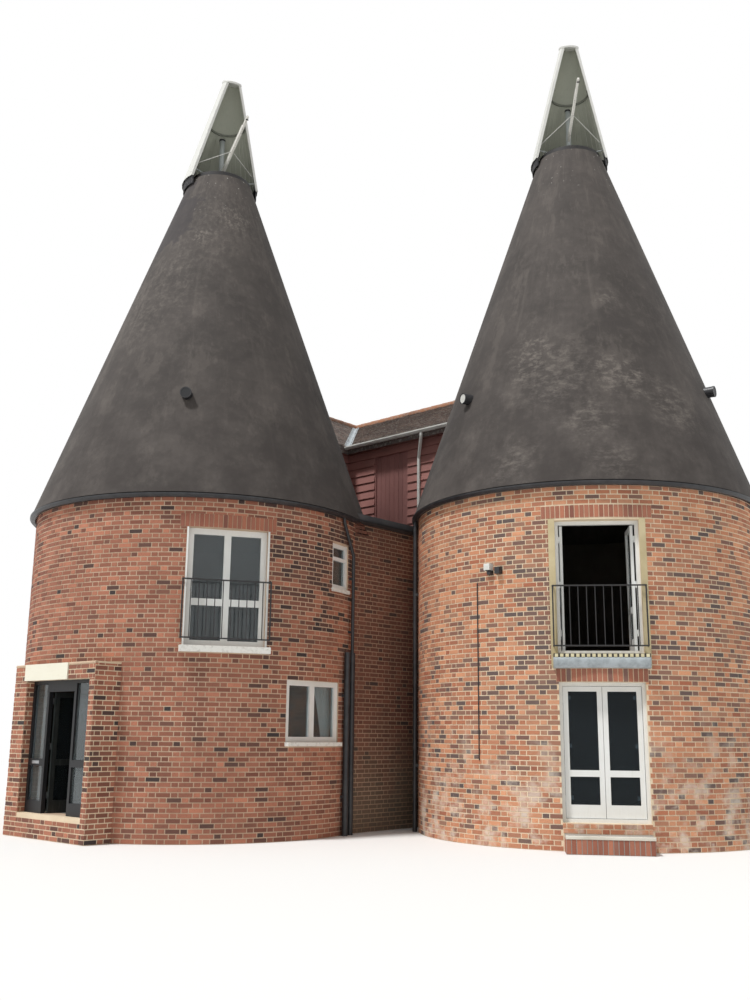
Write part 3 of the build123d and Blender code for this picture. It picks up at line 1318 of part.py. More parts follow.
lamps = []
for angle, share in LAMPS:
    height = share * RIGHT_EAVES
    lamp_end = KILN_RADIUS + LAMP_LENGTH
    ends = [tuple(RIGHT.point(angle, reach, height)) for reach in (KILN_INSIDE, lamp_end)]
    lamps.append((rod(*ends, LAMP_RADIUS) - kiln_columns[1]).solid())
keep("wall_lamps", Compound(children=lamps))

# Everything moves so that the origin is at the middle of the plan, on the ground
whole = Compound(children=[Compound(children=part.solids()) for part in pieces.values()])
box = whole.bounding_box()
shift = Location((-(box.min.X + box.max.X) / 2, -(box.min.Y + box.max.Y) / 2, 0))
print("size", box.size, "shift", shift.position)
for name, point in joint_points.items():
    print("joint", name, [round(value / 1000, 5) for value in tuple(point + shift.position)])
for kiln in (LEFT, RIGHT):
    axis = (kiln.x + shift.position.X, shift.position.Y)
    print("kiln", kiln.name, [round(value / 1000, 5) for value in axis])
for name, part in pieces.items():
    moved = part.moved(shift)
    moved.label = name
    export_step(moved, f"parts/{name}.step")
print(len(pieces), "nodes")
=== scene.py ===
"""Looks of a twin-roundel oast house: brickwork, boarding, tiles, cowl planking and every finish.

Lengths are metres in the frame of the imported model, +Z up.
"""

from __future__ import annotations

import logging
from dataclasses import dataclass
from enum import Enum
from math import asin, atan2, cos, pi, radians, sin

import bpy
import numpy as np
from mathutils import Matrix, Vector


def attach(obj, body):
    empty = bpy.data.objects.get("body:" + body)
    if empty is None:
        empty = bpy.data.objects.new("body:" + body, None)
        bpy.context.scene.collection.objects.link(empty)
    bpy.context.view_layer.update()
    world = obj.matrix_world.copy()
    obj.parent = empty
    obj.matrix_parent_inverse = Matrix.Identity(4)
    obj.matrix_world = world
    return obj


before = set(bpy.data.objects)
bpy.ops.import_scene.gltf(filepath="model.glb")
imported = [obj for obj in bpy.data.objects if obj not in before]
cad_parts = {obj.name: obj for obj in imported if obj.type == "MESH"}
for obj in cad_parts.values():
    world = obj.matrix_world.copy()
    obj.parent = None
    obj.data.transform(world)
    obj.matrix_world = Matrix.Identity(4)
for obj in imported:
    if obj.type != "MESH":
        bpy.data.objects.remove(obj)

LOG = logging.getLogger("oast")
ROOT = "root"

Pair = tuple[float, float]
Triple = tuple[float, float, float]
Quad = tuple[float, float, float, float]
Spot = tuple[float, float, float, float, float]
Ends = tuple[np.ndarray, np.ndarray]
Socket = bpy.types.NodeSocket


# ---------------------------------------------------------------- where things are


@dataclass(frozen=True)
class Kiln:
    """A round kiln: its axis, its levels, and its cowl."""

    name: str
    x: float
    eaves: float
    cone_top: float
    cowl_angle: float
    hood_height: float
    hood_lean: float
    vane_length: float
    vane_root: float
    y: float = -3.78913
    radius: float = 3.0
    cone_eaves_radius: float = 3.095
    cone_top_radius: float = 0.64

    @property
    def hood_base(self) -> float:
        """Level of the foot of the hood."""
        return self.cone_top + 0.115

    def cone_radius(self, height: np.ndarray) -> np.ndarray:
        """Radius of the roof at a height, or of the wall below the eaves."""
        share = (height - self.eaves) / (self.cone_top - self.eaves)
        cone = self.cone_eaves_radius + share * (self.cone_top_radius - self.cone_eaves_radius)
        return np.where(height < self.eaves, self.radius, cone)

    def arc(self, angle: float) -> float:
        """Length along the wall from angle 0 to an angle in degrees."""
        return radians(angle) * self.radius

    def span(self, angle: float, half: float) -> Pair:
        """Lengths along the wall of both ends of a chord, from its middle's angle and half its width."""
        reach = asin(half / self.radius) * self.radius
        return self.arc(angle) - reach, self.arc(angle) + reach

    def depth(self, half: float) -> float:
        """Distance from the axis to the middle of a chord of the wall, from half its width."""
        return (self.radius**2 - half**2) ** 0.5

    def points(self, angle: float, ahead: np.ndarray, aside: np.ndarray, height: np.ndarray) -> np.ndarray:
        """Points from lengths ahead of the axis at an angle in degrees, lengths aside of it, and heights."""
        c, s = cos(radians(angle)), sin(radians(angle))
        x = self.x + ahead * c - aside * s
        y = self.y + ahead * s + aside * c
        return np.stack(np.broadcast_arrays(x, y, height), axis=-1)


LEFT = Kiln(
    "left", x=-3.60776, eaves=5.39, cone_top=12.4, cowl_angle=-58.0, hood_height=2.12, hood_lean=0.438,
    vane_length=1.54, vane_root=0.15,
)
RIGHT = Kiln(
    "right", x=3.44224, eaves=5.545, cone_top=12.745, cowl_angle=-88.0, hood_height=2.32, hood_lean=0.393,
    vane_length=1.40, vane_root=0.39,
)
KILNS = (LEFT, RIGHT)


@dataclass(frozen=True)
class Yard:
    """The grid of the barn and the link, turned against the line of the kilns."""

    turn: float = radians(-38.0)
    x: float = -0.0827583
    y: float = -3.78913

    def world(self, along: np.ndarray, across: np.ndarray) -> Ends:
        """Turns lengths on the grid into x and y of the frame."""
        c, s = cos(self.turn), sin(self.turn)
        return along * c - across * s + self.x, along * s + across * c + self.y

    def local(self, x: float, y: float) -> Pair:
        """Turns x and y of the frame into lengths on the grid."""
        c, s = cos(self.turn), sin(self.turn)
        return (x - self.x) * c + (y - self.y) * s, -(x - self.x) * s + (y - self.y) * c


YARD = Yard()
CORNER = (-3.1067, 2.0912)
WING_ONE_END = 3.0997
WING_TWO_END = -1.3002
BARN_LEFT = -7.7067
BARN_BACK = 7.4912
LINK_FACE = -0.05
LINK_TOP = 5.4
BRICK_TOP = 5.25
BARN_EAVES = 7.83
RIDGE_TOP = 9.466
RIDGE_CROSSING = (-5.4067, 4.7912)
ROOF_RISE = 1.466
HALF_ONE = 2.7
HALF_TWO = 2.3


class Surface:
    """Something that bricks, boards or planks are fixed to. Its points are length, height and out."""

    def place(self, length: np.ndarray, height: np.ndarray, out: np.ndarray) -> np.ndarray:
        """Turns length along, height and distance out of the surface into points of the frame."""
        raise NotImplementedError

    def hidden(self, height: np.ndarray) -> list[Ends]:
        """Lowest and highest length of what stands in front at each height, one pair for each thing."""
        return []


@dataclass(frozen=True)
class RoundWall(Surface):
    """The outside of a kiln, measured anticlockwise round it from angle 0."""

    kiln: Kiln

    def place(self, length: np.ndarray, height: np.ndarray, out: np.ndarray) -> np.ndarray:
        """The angle is the length over the radius; the point is that angle, at the radius plus out."""
        angle = length / self.kiln.radius
        reach = self.kiln.radius + out
        x, y = self.kiln.x + reach * np.cos(angle), self.kiln.y + reach * np.sin(angle)
        return np.stack([x, y, height], axis=-1)


@dataclass(frozen=True)
class FlatWall(Surface):
    """A flat wall through a point, with its outward direction, in the frame's x and y."""

    point: Pair
    normal: Pair
    behind_kilns: bool = True

    @classmethod
    def on_yard(cls, point: Pair, normal: Pair) -> "FlatWall":
        """A wall given on the yard's grid; its length is measured from the foot of the grid's origin."""
        along = (-normal[1], normal[0])
        shift = point[0] * along[0] + point[1] * along[1]
        foot = (point[0] - shift * along[0], point[1] - shift * along[1])
        x, y = YARD.world(*foot)
        tip_x, tip_y = YARD.world(foot[0] + normal[0], foot[1] + normal[1])
        return cls((float(x), float(y)), (float(tip_x - x), float(tip_y - y)))

    @property
    def along(self) -> Pair:
        """Direction of growing length, to the right for someone who faces the wall."""
        return -self.normal[1], self.normal[0]

    def place(self, length: np.ndarray, height: np.ndarray, out: np.ndarray) -> np.ndarray:
        """The point of the wall, plus the length along it and out along its outward direction."""
        x = self.point[0] + length * self.along[0] + out * self.normal[0]
        y = self.point[1] + length * self.along[1] + out * self.normal[1]
        return np.stack([x, y, height], axis=-1)

    def hidden(self, height: np.ndarray) -> list[Ends]:
        """Where the wall runs inside a kiln or its roof: half a chord each side of the nearest point."""
        if not self.behind_kilns:
            return []
        spans = []
        for kiln in KILNS:
            dx, dy = kiln.x - self.point[0], kiln.y - self.point[1]
            middle = dx * self.along[0] + dy * self.along[1]
            away = dx * self.normal[0] + dy * self.normal[1]
            radius = kiln.cone_radius(height)
            half = np.sqrt(np.maximum(radius**2 - away**2, 0.0))
            spans.append((middle - half, np.where(half > 0, middle + half, middle - half)))
        return spans


Facing = tuple[FlatWall, float, float, float, float]


# ---------------------------------------------------------------- laying out and meshing


SLIVER = 0.02
FAR = 1e3
STRETCHER = 0.225
HEADER = 0.1125
COURSE = 0.075
JOINT = 0.014
SOLDIER_JOINT = 0.01


@dataclass
class Spans:
    """Upright rectangles on a surface, one for each brick, board or tile: length and height limits."""

    left: np.ndarray
    right: np.ndarray
    low: np.ndarray
    high: np.ndarray

    @staticmethod
    def of(*boxes: Quad) -> "Spans":
        """One rectangle for each left, right, low and high."""
        return Spans(*np.array(boxes, dtype=float).T)

    @staticmethod
    def join(parts: list["Spans"]) -> "Spans":
        """Several sets as one."""
        names = ("left", "right", "low", "high")
        return Spans(*(np.concatenate([getattr(part, name) for part in parts]) for name in names))

    def pick(self, keep: np.ndarray) -> "Spans":
        """The rectangles where keep is true."""
        return Spans(self.left[keep], self.right[keep], self.low[keep], self.high[keep])

    def clipped(self, left: float, right: float, low: float, high: float) -> "Spans":
        """The parts inside one rectangle, without slivers."""
        lefts, rights = np.maximum(self.left, left), np.minimum(self.right, right)
        lows, highs = np.maximum(self.low, low), np.minimum(self.high, high)
        return Spans(lefts, rights, lows, highs).pick((rights - lefts > SLIVER) & (highs - lows > SLIVER))

    def cut(self, low: np.ndarray, high: np.ndarray) -> "Spans":
        """The parts left and right of a stretch of length that is given for each rectangle."""
        whole = (high <= self.left) | (low >= self.right) | (high <= low)
        left = Spans(self.left, np.minimum(self.right, low), self.low, self.high)
        right = Spans(np.maximum(self.left, high), self.right, self.low, self.high)
        kept = [part.pick(~whole & (part.right - part.left > SLIVER)) for part in (left, right)]
        return Spans.join([self.pick(whole), *kept])

    def without(self, left: float, right: float, low: float, high: float) -> "Spans":
        """What is left round a rectangular hole."""
        touched = (self.right > left) & (self.left < right) & (self.high > low) & (self.low < high)
        hit = self.pick(touched)
        beside = ((-FAR, left, -FAR, FAR), (right, FAR, -FAR, FAR))
        over = ((left, right, -FAR, low), (left, right, high, FAR))
        return Spans.join([self.pick(~touched), *(hit.clipped(*box) for box in beside + over)])

    def shown_on(self, surface: Surface) -> "Spans":
        """The parts that nothing stands in front of."""
        made = self
        count = len(surface.hidden(np.zeros(1)))
        for index in range(count):
            made = made.cut(*surface.hidden(made.low)[index])
        return made


def course_grid(low: float, high: float, gauge: float) -> Ends:
    """Lower edges of courses from low to high, and their numbers."""
    numbers = np.arange(int(np.ceil((high - low) / gauge - 1e-6)))
    return low + numbers * gauge, numbers


def flemish_bond(left: float, right: float, low: float, high: float, around: bool = False) -> Spans:
    """Stretchers and headers in turn, each course moved by half of a pair against the one below.

    Args:
        left, right, low, high: the rectangle to fill.
        around: true where the ends meet, so that the pairs fit a whole number of times.

    Returns:
        One rectangle for each brick.
    """
    levels, numbers = course_grid(low, high, COURSE)
    pair = STRETCHER + HEADER
    if around:
        pair = (right - left) / round((right - left) / pair)
    count = int(np.ceil((right - left) / pair)) + 2
    starts = left + (np.arange(count)[None, :] - 1 + 0.5 * (numbers[:, None] % 2)) * pair
    lefts = np.stack([starts, starts + STRETCHER], axis=-1) + JOINT / 2
    rights = np.stack([starts + STRETCHER, starts + pair], axis=-1) - JOINT / 2
    lows = np.broadcast_to(levels[:, None, None], lefts.shape)
    edges = (lefts, rights, lows + JOINT / 2, lows + COURSE - JOINT / 2)
    return Spans(*(edge.ravel() for edge in edges)).clipped(left, right, low, high)


def row_of(
    left: float, right: float, low: float, high: float, width: float = COURSE, joint: float = SOLDIER_JOINT
) -> Spans:
    """One row of upright pieces of about a width, evenly spread from left to right."""
    count = max(1, round((right - left) / width))
    edges = np.linspace(left, right, count + 1)
    return Spans(edges[:-1] + joint / 2, edges[1:] - joint / 2, np.full(count, low), np.full(count, high))


@dataclass
class Relief:
    """How far rectangles stand out of their surface: at the foot, the head, and the back."""

    foot: float = 0.005
    head: float = 0.005
    back: float = -0.002
    ease: float = 0.002
    wander: float = 0.0015


WELD = 2e-5


@dataclass
class Patch:
    """Points and four-sided faces, with a tone and a burnt value for each point."""

    points: np.ndarray
    faces: np.ndarray
    tone: np.ndarray
    burnt: np.ndarray

    @staticmethod
    def join(parts: list["Patch"]) -> "Patch":
        """Several patches as one."""
        shift = np.cumsum([0] + [len(p.points) for p in parts[:-1]])
        return Patch(
            np.concatenate([p.points for p in parts]),
            np.concatenate([p.faces + s for p, s in zip(parts, shift)]),
            np.concatenate([p.tone for p in parts]),
            np.concatenate([p.burnt for p in parts]),
        )

    def welded(self) -> "Patch":
        """The patch with points that lie together made one, so that seams and poles close.

        Returns:
            A patch whose triangles repeat one corner.
        """
        near = np.round(self.points / WELD)
        _, first, place = np.unique(near, axis=0, return_index=True, return_inverse=True)
        faces = place.reshape(-1)[self.faces]
        corners = (faces != np.roll(faces, 1, axis=1)).sum(axis=1)
        return Patch(self.points[first], faces[corners > 2], self.tone[first], self.burnt[first])

    def outward(self) -> "Patch":
        """The closed patch with its faces turned outwards, where the sum of signed cones is positive."""
        middle = self.points - self.points.mean(axis=0)
        a, b, c, d = (middle[self.faces[:, k]] for k in range(4))
        volume = (np.cross(a, b) * c).sum() + (np.cross(a, c) * d).sum()
        return self if volume > 0 else Patch(self.points, self.faces[:, ::-1], self.tone, self.burnt)

    def mesh(self, name: str, smooth: bool = False) -> bpy.types.Object:
        """Puts the patch into a mesh object at the origin; a face's repeated corners count once.

        Args:
            name: the piece's name.
            smooth: true for rounded forms.

        Returns:
            The object, linked to the scene.
        """
        data = bpy.data.meshes.new(name)
        corner = self.faces != np.roll(self.faces, 1, axis=1)
        sizes = corner.sum(axis=1)
        count = len(sizes)
        data.vertices.add(len(self.points))
        data.vertices.foreach_set("co", self.points.astype(np.float32).ravel())
        data.loops.add(int(sizes.sum()))
        data.loops.foreach_set("vertex_index", self.faces[corner].astype(np.int32))
        data.polygons.add(count)
        data.polygons.foreach_set("loop_start", (np.cumsum(sizes) - sizes).astype(np.int32))
        data.polygons.foreach_set("use_smooth", np.full(count, smooth))
        for label, values in (("tone", self.tone), ("burnt", self.burnt)):
            data.attributes.new(label, "FLOAT", "POINT").data.foreach_set("value", values.astype(np.float32))
        data.update(calc_edges=True)
        data.validate()
        made = bpy.data.objects.new(name, data)
        bpy.context.scene.collection.objects.link(made)
        return made


def block_faces(count: int) -> np.ndarray:
    """Front, bottom, right, top and left faces of blocks of eight corners each."""
    corners = np.array([[4, 5, 6, 7], [0, 1, 5, 4], [1, 2, 6, 5], [2, 3, 7, 6], [3, 0, 4, 7]])
    return (corners[None] + 8 * np.arange(count)[:, None, None]).reshape(-1, 4)


def blocks(
    spans: Spans, surface: Surface, relief: Relief, seed: int, burnt_share: float | np.ndarray = 0.0
) -> Patch:
    """One raised block for each rectangle.

    The four corners are taken at the back depth, then again at the front depth, drawn in by the
    ease; the front, bottom, right, top and left faces join them. The back stays open, inside the wall.

    Args:
        spans: the rectangles.
        surface: what they are fixed to.
        relief: how far they stand out.
        seed: number that fixes the spread of tones.
        burnt_share: share of the blocks that are of the dark kind, or a share for each block.

    Returns:
        The patch, with a tone from 0 to 1 and a burnt value from 0 to 1 for each block.
    """
    rng = np.random.default_rng(seed)
    count = len(spans.left)
    wander = rng.uniform(-1, 1, count) * relief.wander
    lengths, heights, outs = [], [], []
    for ease, foot, head in ((0.0, relief.back, relief.back), (relief.ease, relief.foot, relief.head)):
        lengths += [spans.left + ease, spans.right - ease, spans.right - ease, spans.left + ease]
        heights += [spans.low + ease, spans.low + ease, spans.high - ease, spans.high - ease]
        proud = wander if ease else np.zeros(count)
        outs += [foot + proud, foot + proud, head + proud, head + proud]
    points = surface.place(np.stack(lengths, 1), np.stack(heights, 1), np.stack(outs, 1)).reshape(-1, 3)
    tone = rng.beta(2.2, 2.2, count)
    dark = rng.random(count) < burnt_share
    burnt = np.where(dark, rng.uniform(0.35, 1.0, count), rng.uniform(0, 0.25, count))
    return Patch(points, block_faces(count), np.repeat(tone, 8), np.repeat(burnt, 8))


def grid_patch(points: np.ndarray, tone: np.ndarray | None = None) -> Patch:
    """A patch from rows and columns of points; face corners go along the row, then up.

    Args:
        points: array of rows by columns by 3.
        tone: a value for each point, or nothing for a middle tone.

    Returns:
        The patch, welded.
    """
    rows, columns = points.shape[:2]
    index = np.arange(rows * columns).reshape(rows, columns)
    faces = np.stack([index[:-1, :-1], index[:-1, 1:], index[1:, 1:], index[1:, :-1]], axis=-1)
    flat = points.reshape(-1, 3)
    tones = np.full(len(flat), 0.5) if tone is None else tone.ravel()
    return Patch(flat, faces.reshape(-1, 4), tones, np.zeros(len(flat))).welded()


def bar(surface: Surface, stations: np.ndarray, profile: list[Pair]) -> Patch:
    """A closed bar that runs along a surface.

    Rows are the points of the outline, which closes on itself; columns are the stations along the
    length. The first and last columns shrink to the outline's middle, so that the ends close.

    Args:
        surface: what the bar is fixed to.
        stations: lengths along the surface, growing.
        profile: corners of the outline as out and height.

    Returns:
        The patch, facing outwards.
    """
    ring = np.array(profile + profile[:1], dtype=float)
    middle = ring[:-1].mean(axis=0)
    lengths = np.concatenate([stations[:1], stations, stations[-1:]])
    full = np.ones(len(lengths))
    full[[0, -1]] = 0.0
    out = middle[0] + (ring[:, :1] - middle[0]) * full
    height = middle[1] + (ring[:, 1:] - middle[1]) * full
    points = surface.place(lengths + 0 * out, height, out)
    return grid_patch(points, np.full(points.shape[:2], np.random.default_rng(0).random())).outward()


def tube(path: np.ndarray, radius: float | np.ndarray, sides: int = 12) -> Patch:
    """A round bar along a path, with closed ends.

    At each point of the path the ring is radius times the cosine and sine of the angle along two
    directions square to the path; the first and last rings shrink to the path itself.

    Args:
        path: points, one row each.
        radius: one radius, or one for each point.
        sides: sides of the ring.

    Returns:
        The patch, facing outwards.
    """
    path = np.asarray(path, dtype=float)
    course = np.gradient(path, axis=0)
    course /= np.linalg.norm(course, axis=1, keepdims=True)
    rest = np.eye(3)[np.argmin(np.abs(course).sum(axis=0))]
    side = np.cross(course, rest)
    side /= np.linalg.norm(side, axis=1, keepdims=True)
    up = np.cross(side, course)
    reach = np.broadcast_to(np.asarray(radius, dtype=float), (len(path),))
    reach = np.concatenate([[0.0], reach, [0.0]])[:, None, None]
    path, side, up = (np.concatenate([v[:1], v, v[-1:]])[:, None, :] for v in (path, side, up))
    angle = np.linspace(0, 2 * pi, sides + 1)[None, :, None]
    return grid_patch(path + reach * (np.cos(angle) * side + np.sin(angle) * up)).outward()


# ---------------------------------------------------------------- finishes


def tint(colour: Triple) -> Quad:
    """Linear colour from a colour written 0 to 255."""
    share = np.array(colour) / 255.0
    linear = np.where(share <= 0.04045, share / 12.92, ((share + 0.055) / 1.055) ** 2.4)
    return (*[float(v) for v in linear], 1.0)


def dimmed(colour: Triple, share: float) -> Triple:
    """A share of a written colour."""
    return tuple(value * share for value in colour)


class Graph:
    """The nodes of a material or a world, with short calls for the ones that the finishes share.

    A plain colour of three numbers is written 0 to 255, and its socket gets it as linear light.
    """

    def __init__(self, name: str, world: bool = False) -> None:
        """Starts an empty world, or a material with one shader."""
        self.owner = (bpy.data.worlds if world else bpy.data.materials).new(name)
        self.owner.use_nodes = True
        self.tree = self.owner.node_tree
        self.tree.nodes.clear()
        self.output = self.node("ShaderNodeOutputWorld" if world else "ShaderNodeOutputMaterial").inputs[0]
        if not world:
            self.shader = self.node("ShaderNodeBsdfPrincipled")
            self.feed(self.output, self.shader.outputs[0])

    def node(self, kind: str, *feeds: tuple[int | str, object], **values: object) -> bpy.types.Node:
        """Adds a node, sets its properties, and feeds its sockets, each from a pair of key and value."""
        made = self.tree.nodes.new(kind)
        for name, value in values.items():
            setattr(made, name, value)
        for key, value in feeds:
            self.feed(made.inputs[key], value)
        return made

    def feed(self, socket: Socket, value: object) -> None:
        """Links a socket, or sets it where the value is plain."""
        if isinstance(value, Socket):
            self.tree.links.new(value, socket)
        else:
            written = socket.type == "RGBA" and len(value) == 3
            socket.default_value = tint(value) if written else value

    def place(self, centre: Triple = (0, 0, 0), turn: float = 0.0, scale: Triple = (1, 1, 1)) -> Socket:
        """Object coordinates, measured from a centre, turned about Z in degrees, then scaled."""
        made = self.node("ShaderNodeTexCoord").outputs["Object"]
        shift = tuple(-c for c in centre)
        for key, value in (("Location", shift), ("Rotation", (0, 0, radians(turn))), ("Scale", scale)):
            made = self.node("ShaderNodeMapping", ("Vector", made), (key, value)).outputs[0]
        return made

    def split(self, vector: Socket) -> bpy.types.NodeOutputs:
        """The three lengths of a vector."""
        return self.node("ShaderNodeSeparateXYZ", (0, vector)).outputs

    def join(self, *lengths: object) -> Socket:
        """A vector from three values."""
        return self.node("ShaderNodeCombineXYZ", *enumerate(lengths)).outputs[0]

    def noise(self, vector: Socket, scale: float, detail: float, rough: float) -> Socket:
        """Soft noise from 0 to 1."""
        feeds = (("Vector", vector), ("Scale", scale), ("Detail", detail), ("Roughness", rough))
        return self.node("ShaderNodeTexNoise", *feeds).outputs["Fac"]

    def maths(self, operation: str, *values: object) -> Socket:
        """One sum on numbers or sockets."""
        return self.node("ShaderNodeMath", *enumerate(values), operation=operation).outputs[0]

    def times(self, first: object, second: object) -> Socket:
        """The product of two values."""
        return self.maths("MULTIPLY", first, second)

    def plus(self, first: object, second: object) -> Socket:
        """The sum of two values."""
        return self.maths("ADD", first, second)

    def away(self, x: Socket, y: Socket) -> Socket:
        """Distance from the upright line where x and y are 0."""
        return self.maths("SQRT", self.plus(self.times(x, x), self.times(y, y)))

    def band(self, value: Socket, low: float, high: float) -> Socket:
        """0 below low, 1 above high, and straight between them."""
        feeds = (("Value", value), ("From Min", low), ("From Max", high))
        return self.node("ShaderNodeMapRange", *feeds).outputs[0]

    def fade(self, value: Socket, low: float, high: float, most: float) -> Socket:
        """A band that goes up to a share."""
        return self.times(self.band(value, low, high), most)

    def mix(self, share: object, first: object, second: object) -> Socket:
        """One colour fading into another."""
        feeds = (("Factor", share), (6, first), (7, second))
        return self.node("ShaderNodeMix", *feeds, data_type="RGBA").outputs[2]

    def stain(
        self, colour: object, tone: object, value: Socket, low: float, high: float, most: float
    ) -> Socket:
        """A colour with a tone over it, where a value goes from low to high, up to a share."""
        return self.mix(self.fade(value, low, high, most), colour, tone)

    def stone(
        self, grit: Socket, wide: Socket, light: Triple, dark: Triple, low: float, most: float
    ) -> Socket:
        """Wide blotches between two tones, with dark grit over them up to a share."""
        return self.stain(self.mix(self.band(wide, low, 0.7), light, dark), dark, grit, 0.5, 0.75, most)

    def attribute(self, name: str) -> Socket:
        """A value that the mesh carries."""
        return self.node("ShaderNodeAttribute", attribute_name=name).outputs["Fac"]

    def seen(self) -> Socket:
        """1 for light that is seen directly, in a gloss or through glass, and 0 for light that falls."""
        path = self.node("ShaderNodeLightPath").outputs
        beyond = self.maths("MAXIMUM", path["Is Glossy Ray"], path["Is Transmission Ray"])
        return self.maths("MAXIMUM", path["Is Camera Ray"], beyond)

    def blend(self, share: Socket, first: bpy.types.Node, second: bpy.types.Node) -> None:
        """Sends one shader fading into another to the output."""
        feeds = ((0, share), (1, first.outputs[0]), (2, second.outputs[0]))
        self.feed(self.output, self.node("ShaderNodeMixShader", *feeds).outputs[0])

    def bump(self, height: Socket, distance: float, strength: float = 1.0) -> None:
        """Relief on the shader's surface, in metres."""
        feeds = (("Strength", strength), ("Distance", distance), ("Height", height))
        self.feed(self.shader.inputs["Normal"], self.node("ShaderNodeBump", *feeds).outputs[0])

    def finish(self, colour: object, roughness: object, **sockets: object) -> bpy.types.Material:
        """Sets the shader's own sockets.

        Args:
            colour: base colour, a socket or a plain colour.
            roughness: a socket or a number.
            sockets: other sockets by name, with underscores for spaces.

        Returns:
            The finished material.
        """
        self.feed(self.shader.inputs["Base Color"], colour)
        self.feed(self.shader.inputs["Roughness"], roughness)
        for name, value in sockets.items():
            self.feed(self.shader.inputs[name.replace("_", " ")], value)
        return self.owner


# In the finishes, a noise is given by its scale, its detail and its roughness, and a band by low and high.


@dataclass(frozen=True)
class BrickFinish:
    """Fired clay: a light and a deep red, burnt headers, grime, pale bloom near the ground, and damp."""

    name: str
    light: Triple
    deep: Triple
    burnt: Triple
    grime: Triple = (88, 76, 68)
    grime_share: float = 0.35
    bloom: float = 0.0
    damp: float = 0.0
    salt: Triple = (222, 212, 198)
    moss: Triple = (112, 104, 88)

    def material(self) -> bpy.types.Material:
        """Mixes the reds by each brick's tone, then the burnt colour, then stains over many bricks."""
        g = Graph(self.name)
        place = g.place()
        fine = g.noise(place, 70.0, 4.0, 0.65)
        wide = g.noise(place, 1.1, 4.0, 0.6)
        colour = g.mix(g.attribute("tone"), self.deep, self.light)
        colour = g.mix(g.attribute("burnt"), colour, self.burnt)
        colour = g.stain(colour, self.grime, fine, 0.52, 0.75, 0.45)
        colour = g.stain(colour, self.grime, wide, 0.5, 0.72, self.grime_share)
        if self.bloom:
            patch = g.band(g.noise(place, 3.0, 4.0, 0.6), 0.5, 0.66)
            share = g.times(g.times(g.band(g.split(place)[2], 2.2, 0.5), patch), self.bloom)
            colour = g.mix(share, colour, self.salt)
        if self.damp:
            foot = g.plus(g.split(place)[2], g.times(wide, -1.6))
            colour = g.stain(colour, self.moss, foot, 1.0, -0.4, self.damp)
        g.bump(fine, 0.0025, 0.8)
        return g.finish(colour, g.plus(g.times(fine, 0.2), 0.75))


@dataclass(frozen=True)
class StoneFinish:
    """Mortar, screed, render, painted brick or felt: a light and a dark tone with grit."""

    name: str
    light: Triple
    dark: Triple
    grit: float = 90.0
    blotch: float = 1.4
    depth: float = 0.002

    def material(self) -> bpy.types.Material:
        """Wide blotches between the two tones, with fine grit over them."""
        g = Graph(self.name)
        place = g.place()
        grit = g.noise(place, self.grit, 5.0, 0.7)
        wide = g.noise(place, self.blotch, 4.0, 0.6)
        g.bump(grit, self.depth)
        return g.finish(g.stone(grit, wide, self.light, self.dark, 0.32, 0.35), 0.92)


@dataclass(frozen=True)
class KilnMortar:
    """Lime mortar between the bricks outside, and dark plaster inside the kiln, whose darkness is painted
    shade of the unlit rooms.
    """

    kiln: Kiln
    light: Triple = (232, 214, 186)
    dark: Triple = (208, 186, 156)
    # The inside plaster's dark tone is painted shade: the rooms inside the kiln are unlit.
    plaster: Triple = (104, 96, 86)
    inside: float = 2.7

    def material(self) -> bpy.types.Material:
        """By distance from the axis: nearer than the wall's inner face is plaster."""
        g = Graph(f"{self.kiln.name}_kiln_mortar")
        place = g.place((self.kiln.x, self.kiln.y, 0))
        x, y, _ = g.split(place)
        grit = g.noise(place, 90.0, 5.0, 0.7)
        wide = g.noise(place, 1.4, 4.0, 0.6)
        mortar = g.stone(grit, wide, self.light, self.dark, 0.35, 0.4)
        plaster = g.mix(g.band(wide, 0.35, 0.7), self.plaster, dimmed(self.plaster, 0.8))
        g.bump(grit, 0.002)
        return g.finish(g.mix(g.band(g.away(x, y), self.inside, self.inside + 0.01), plaster, mortar), 0.92)


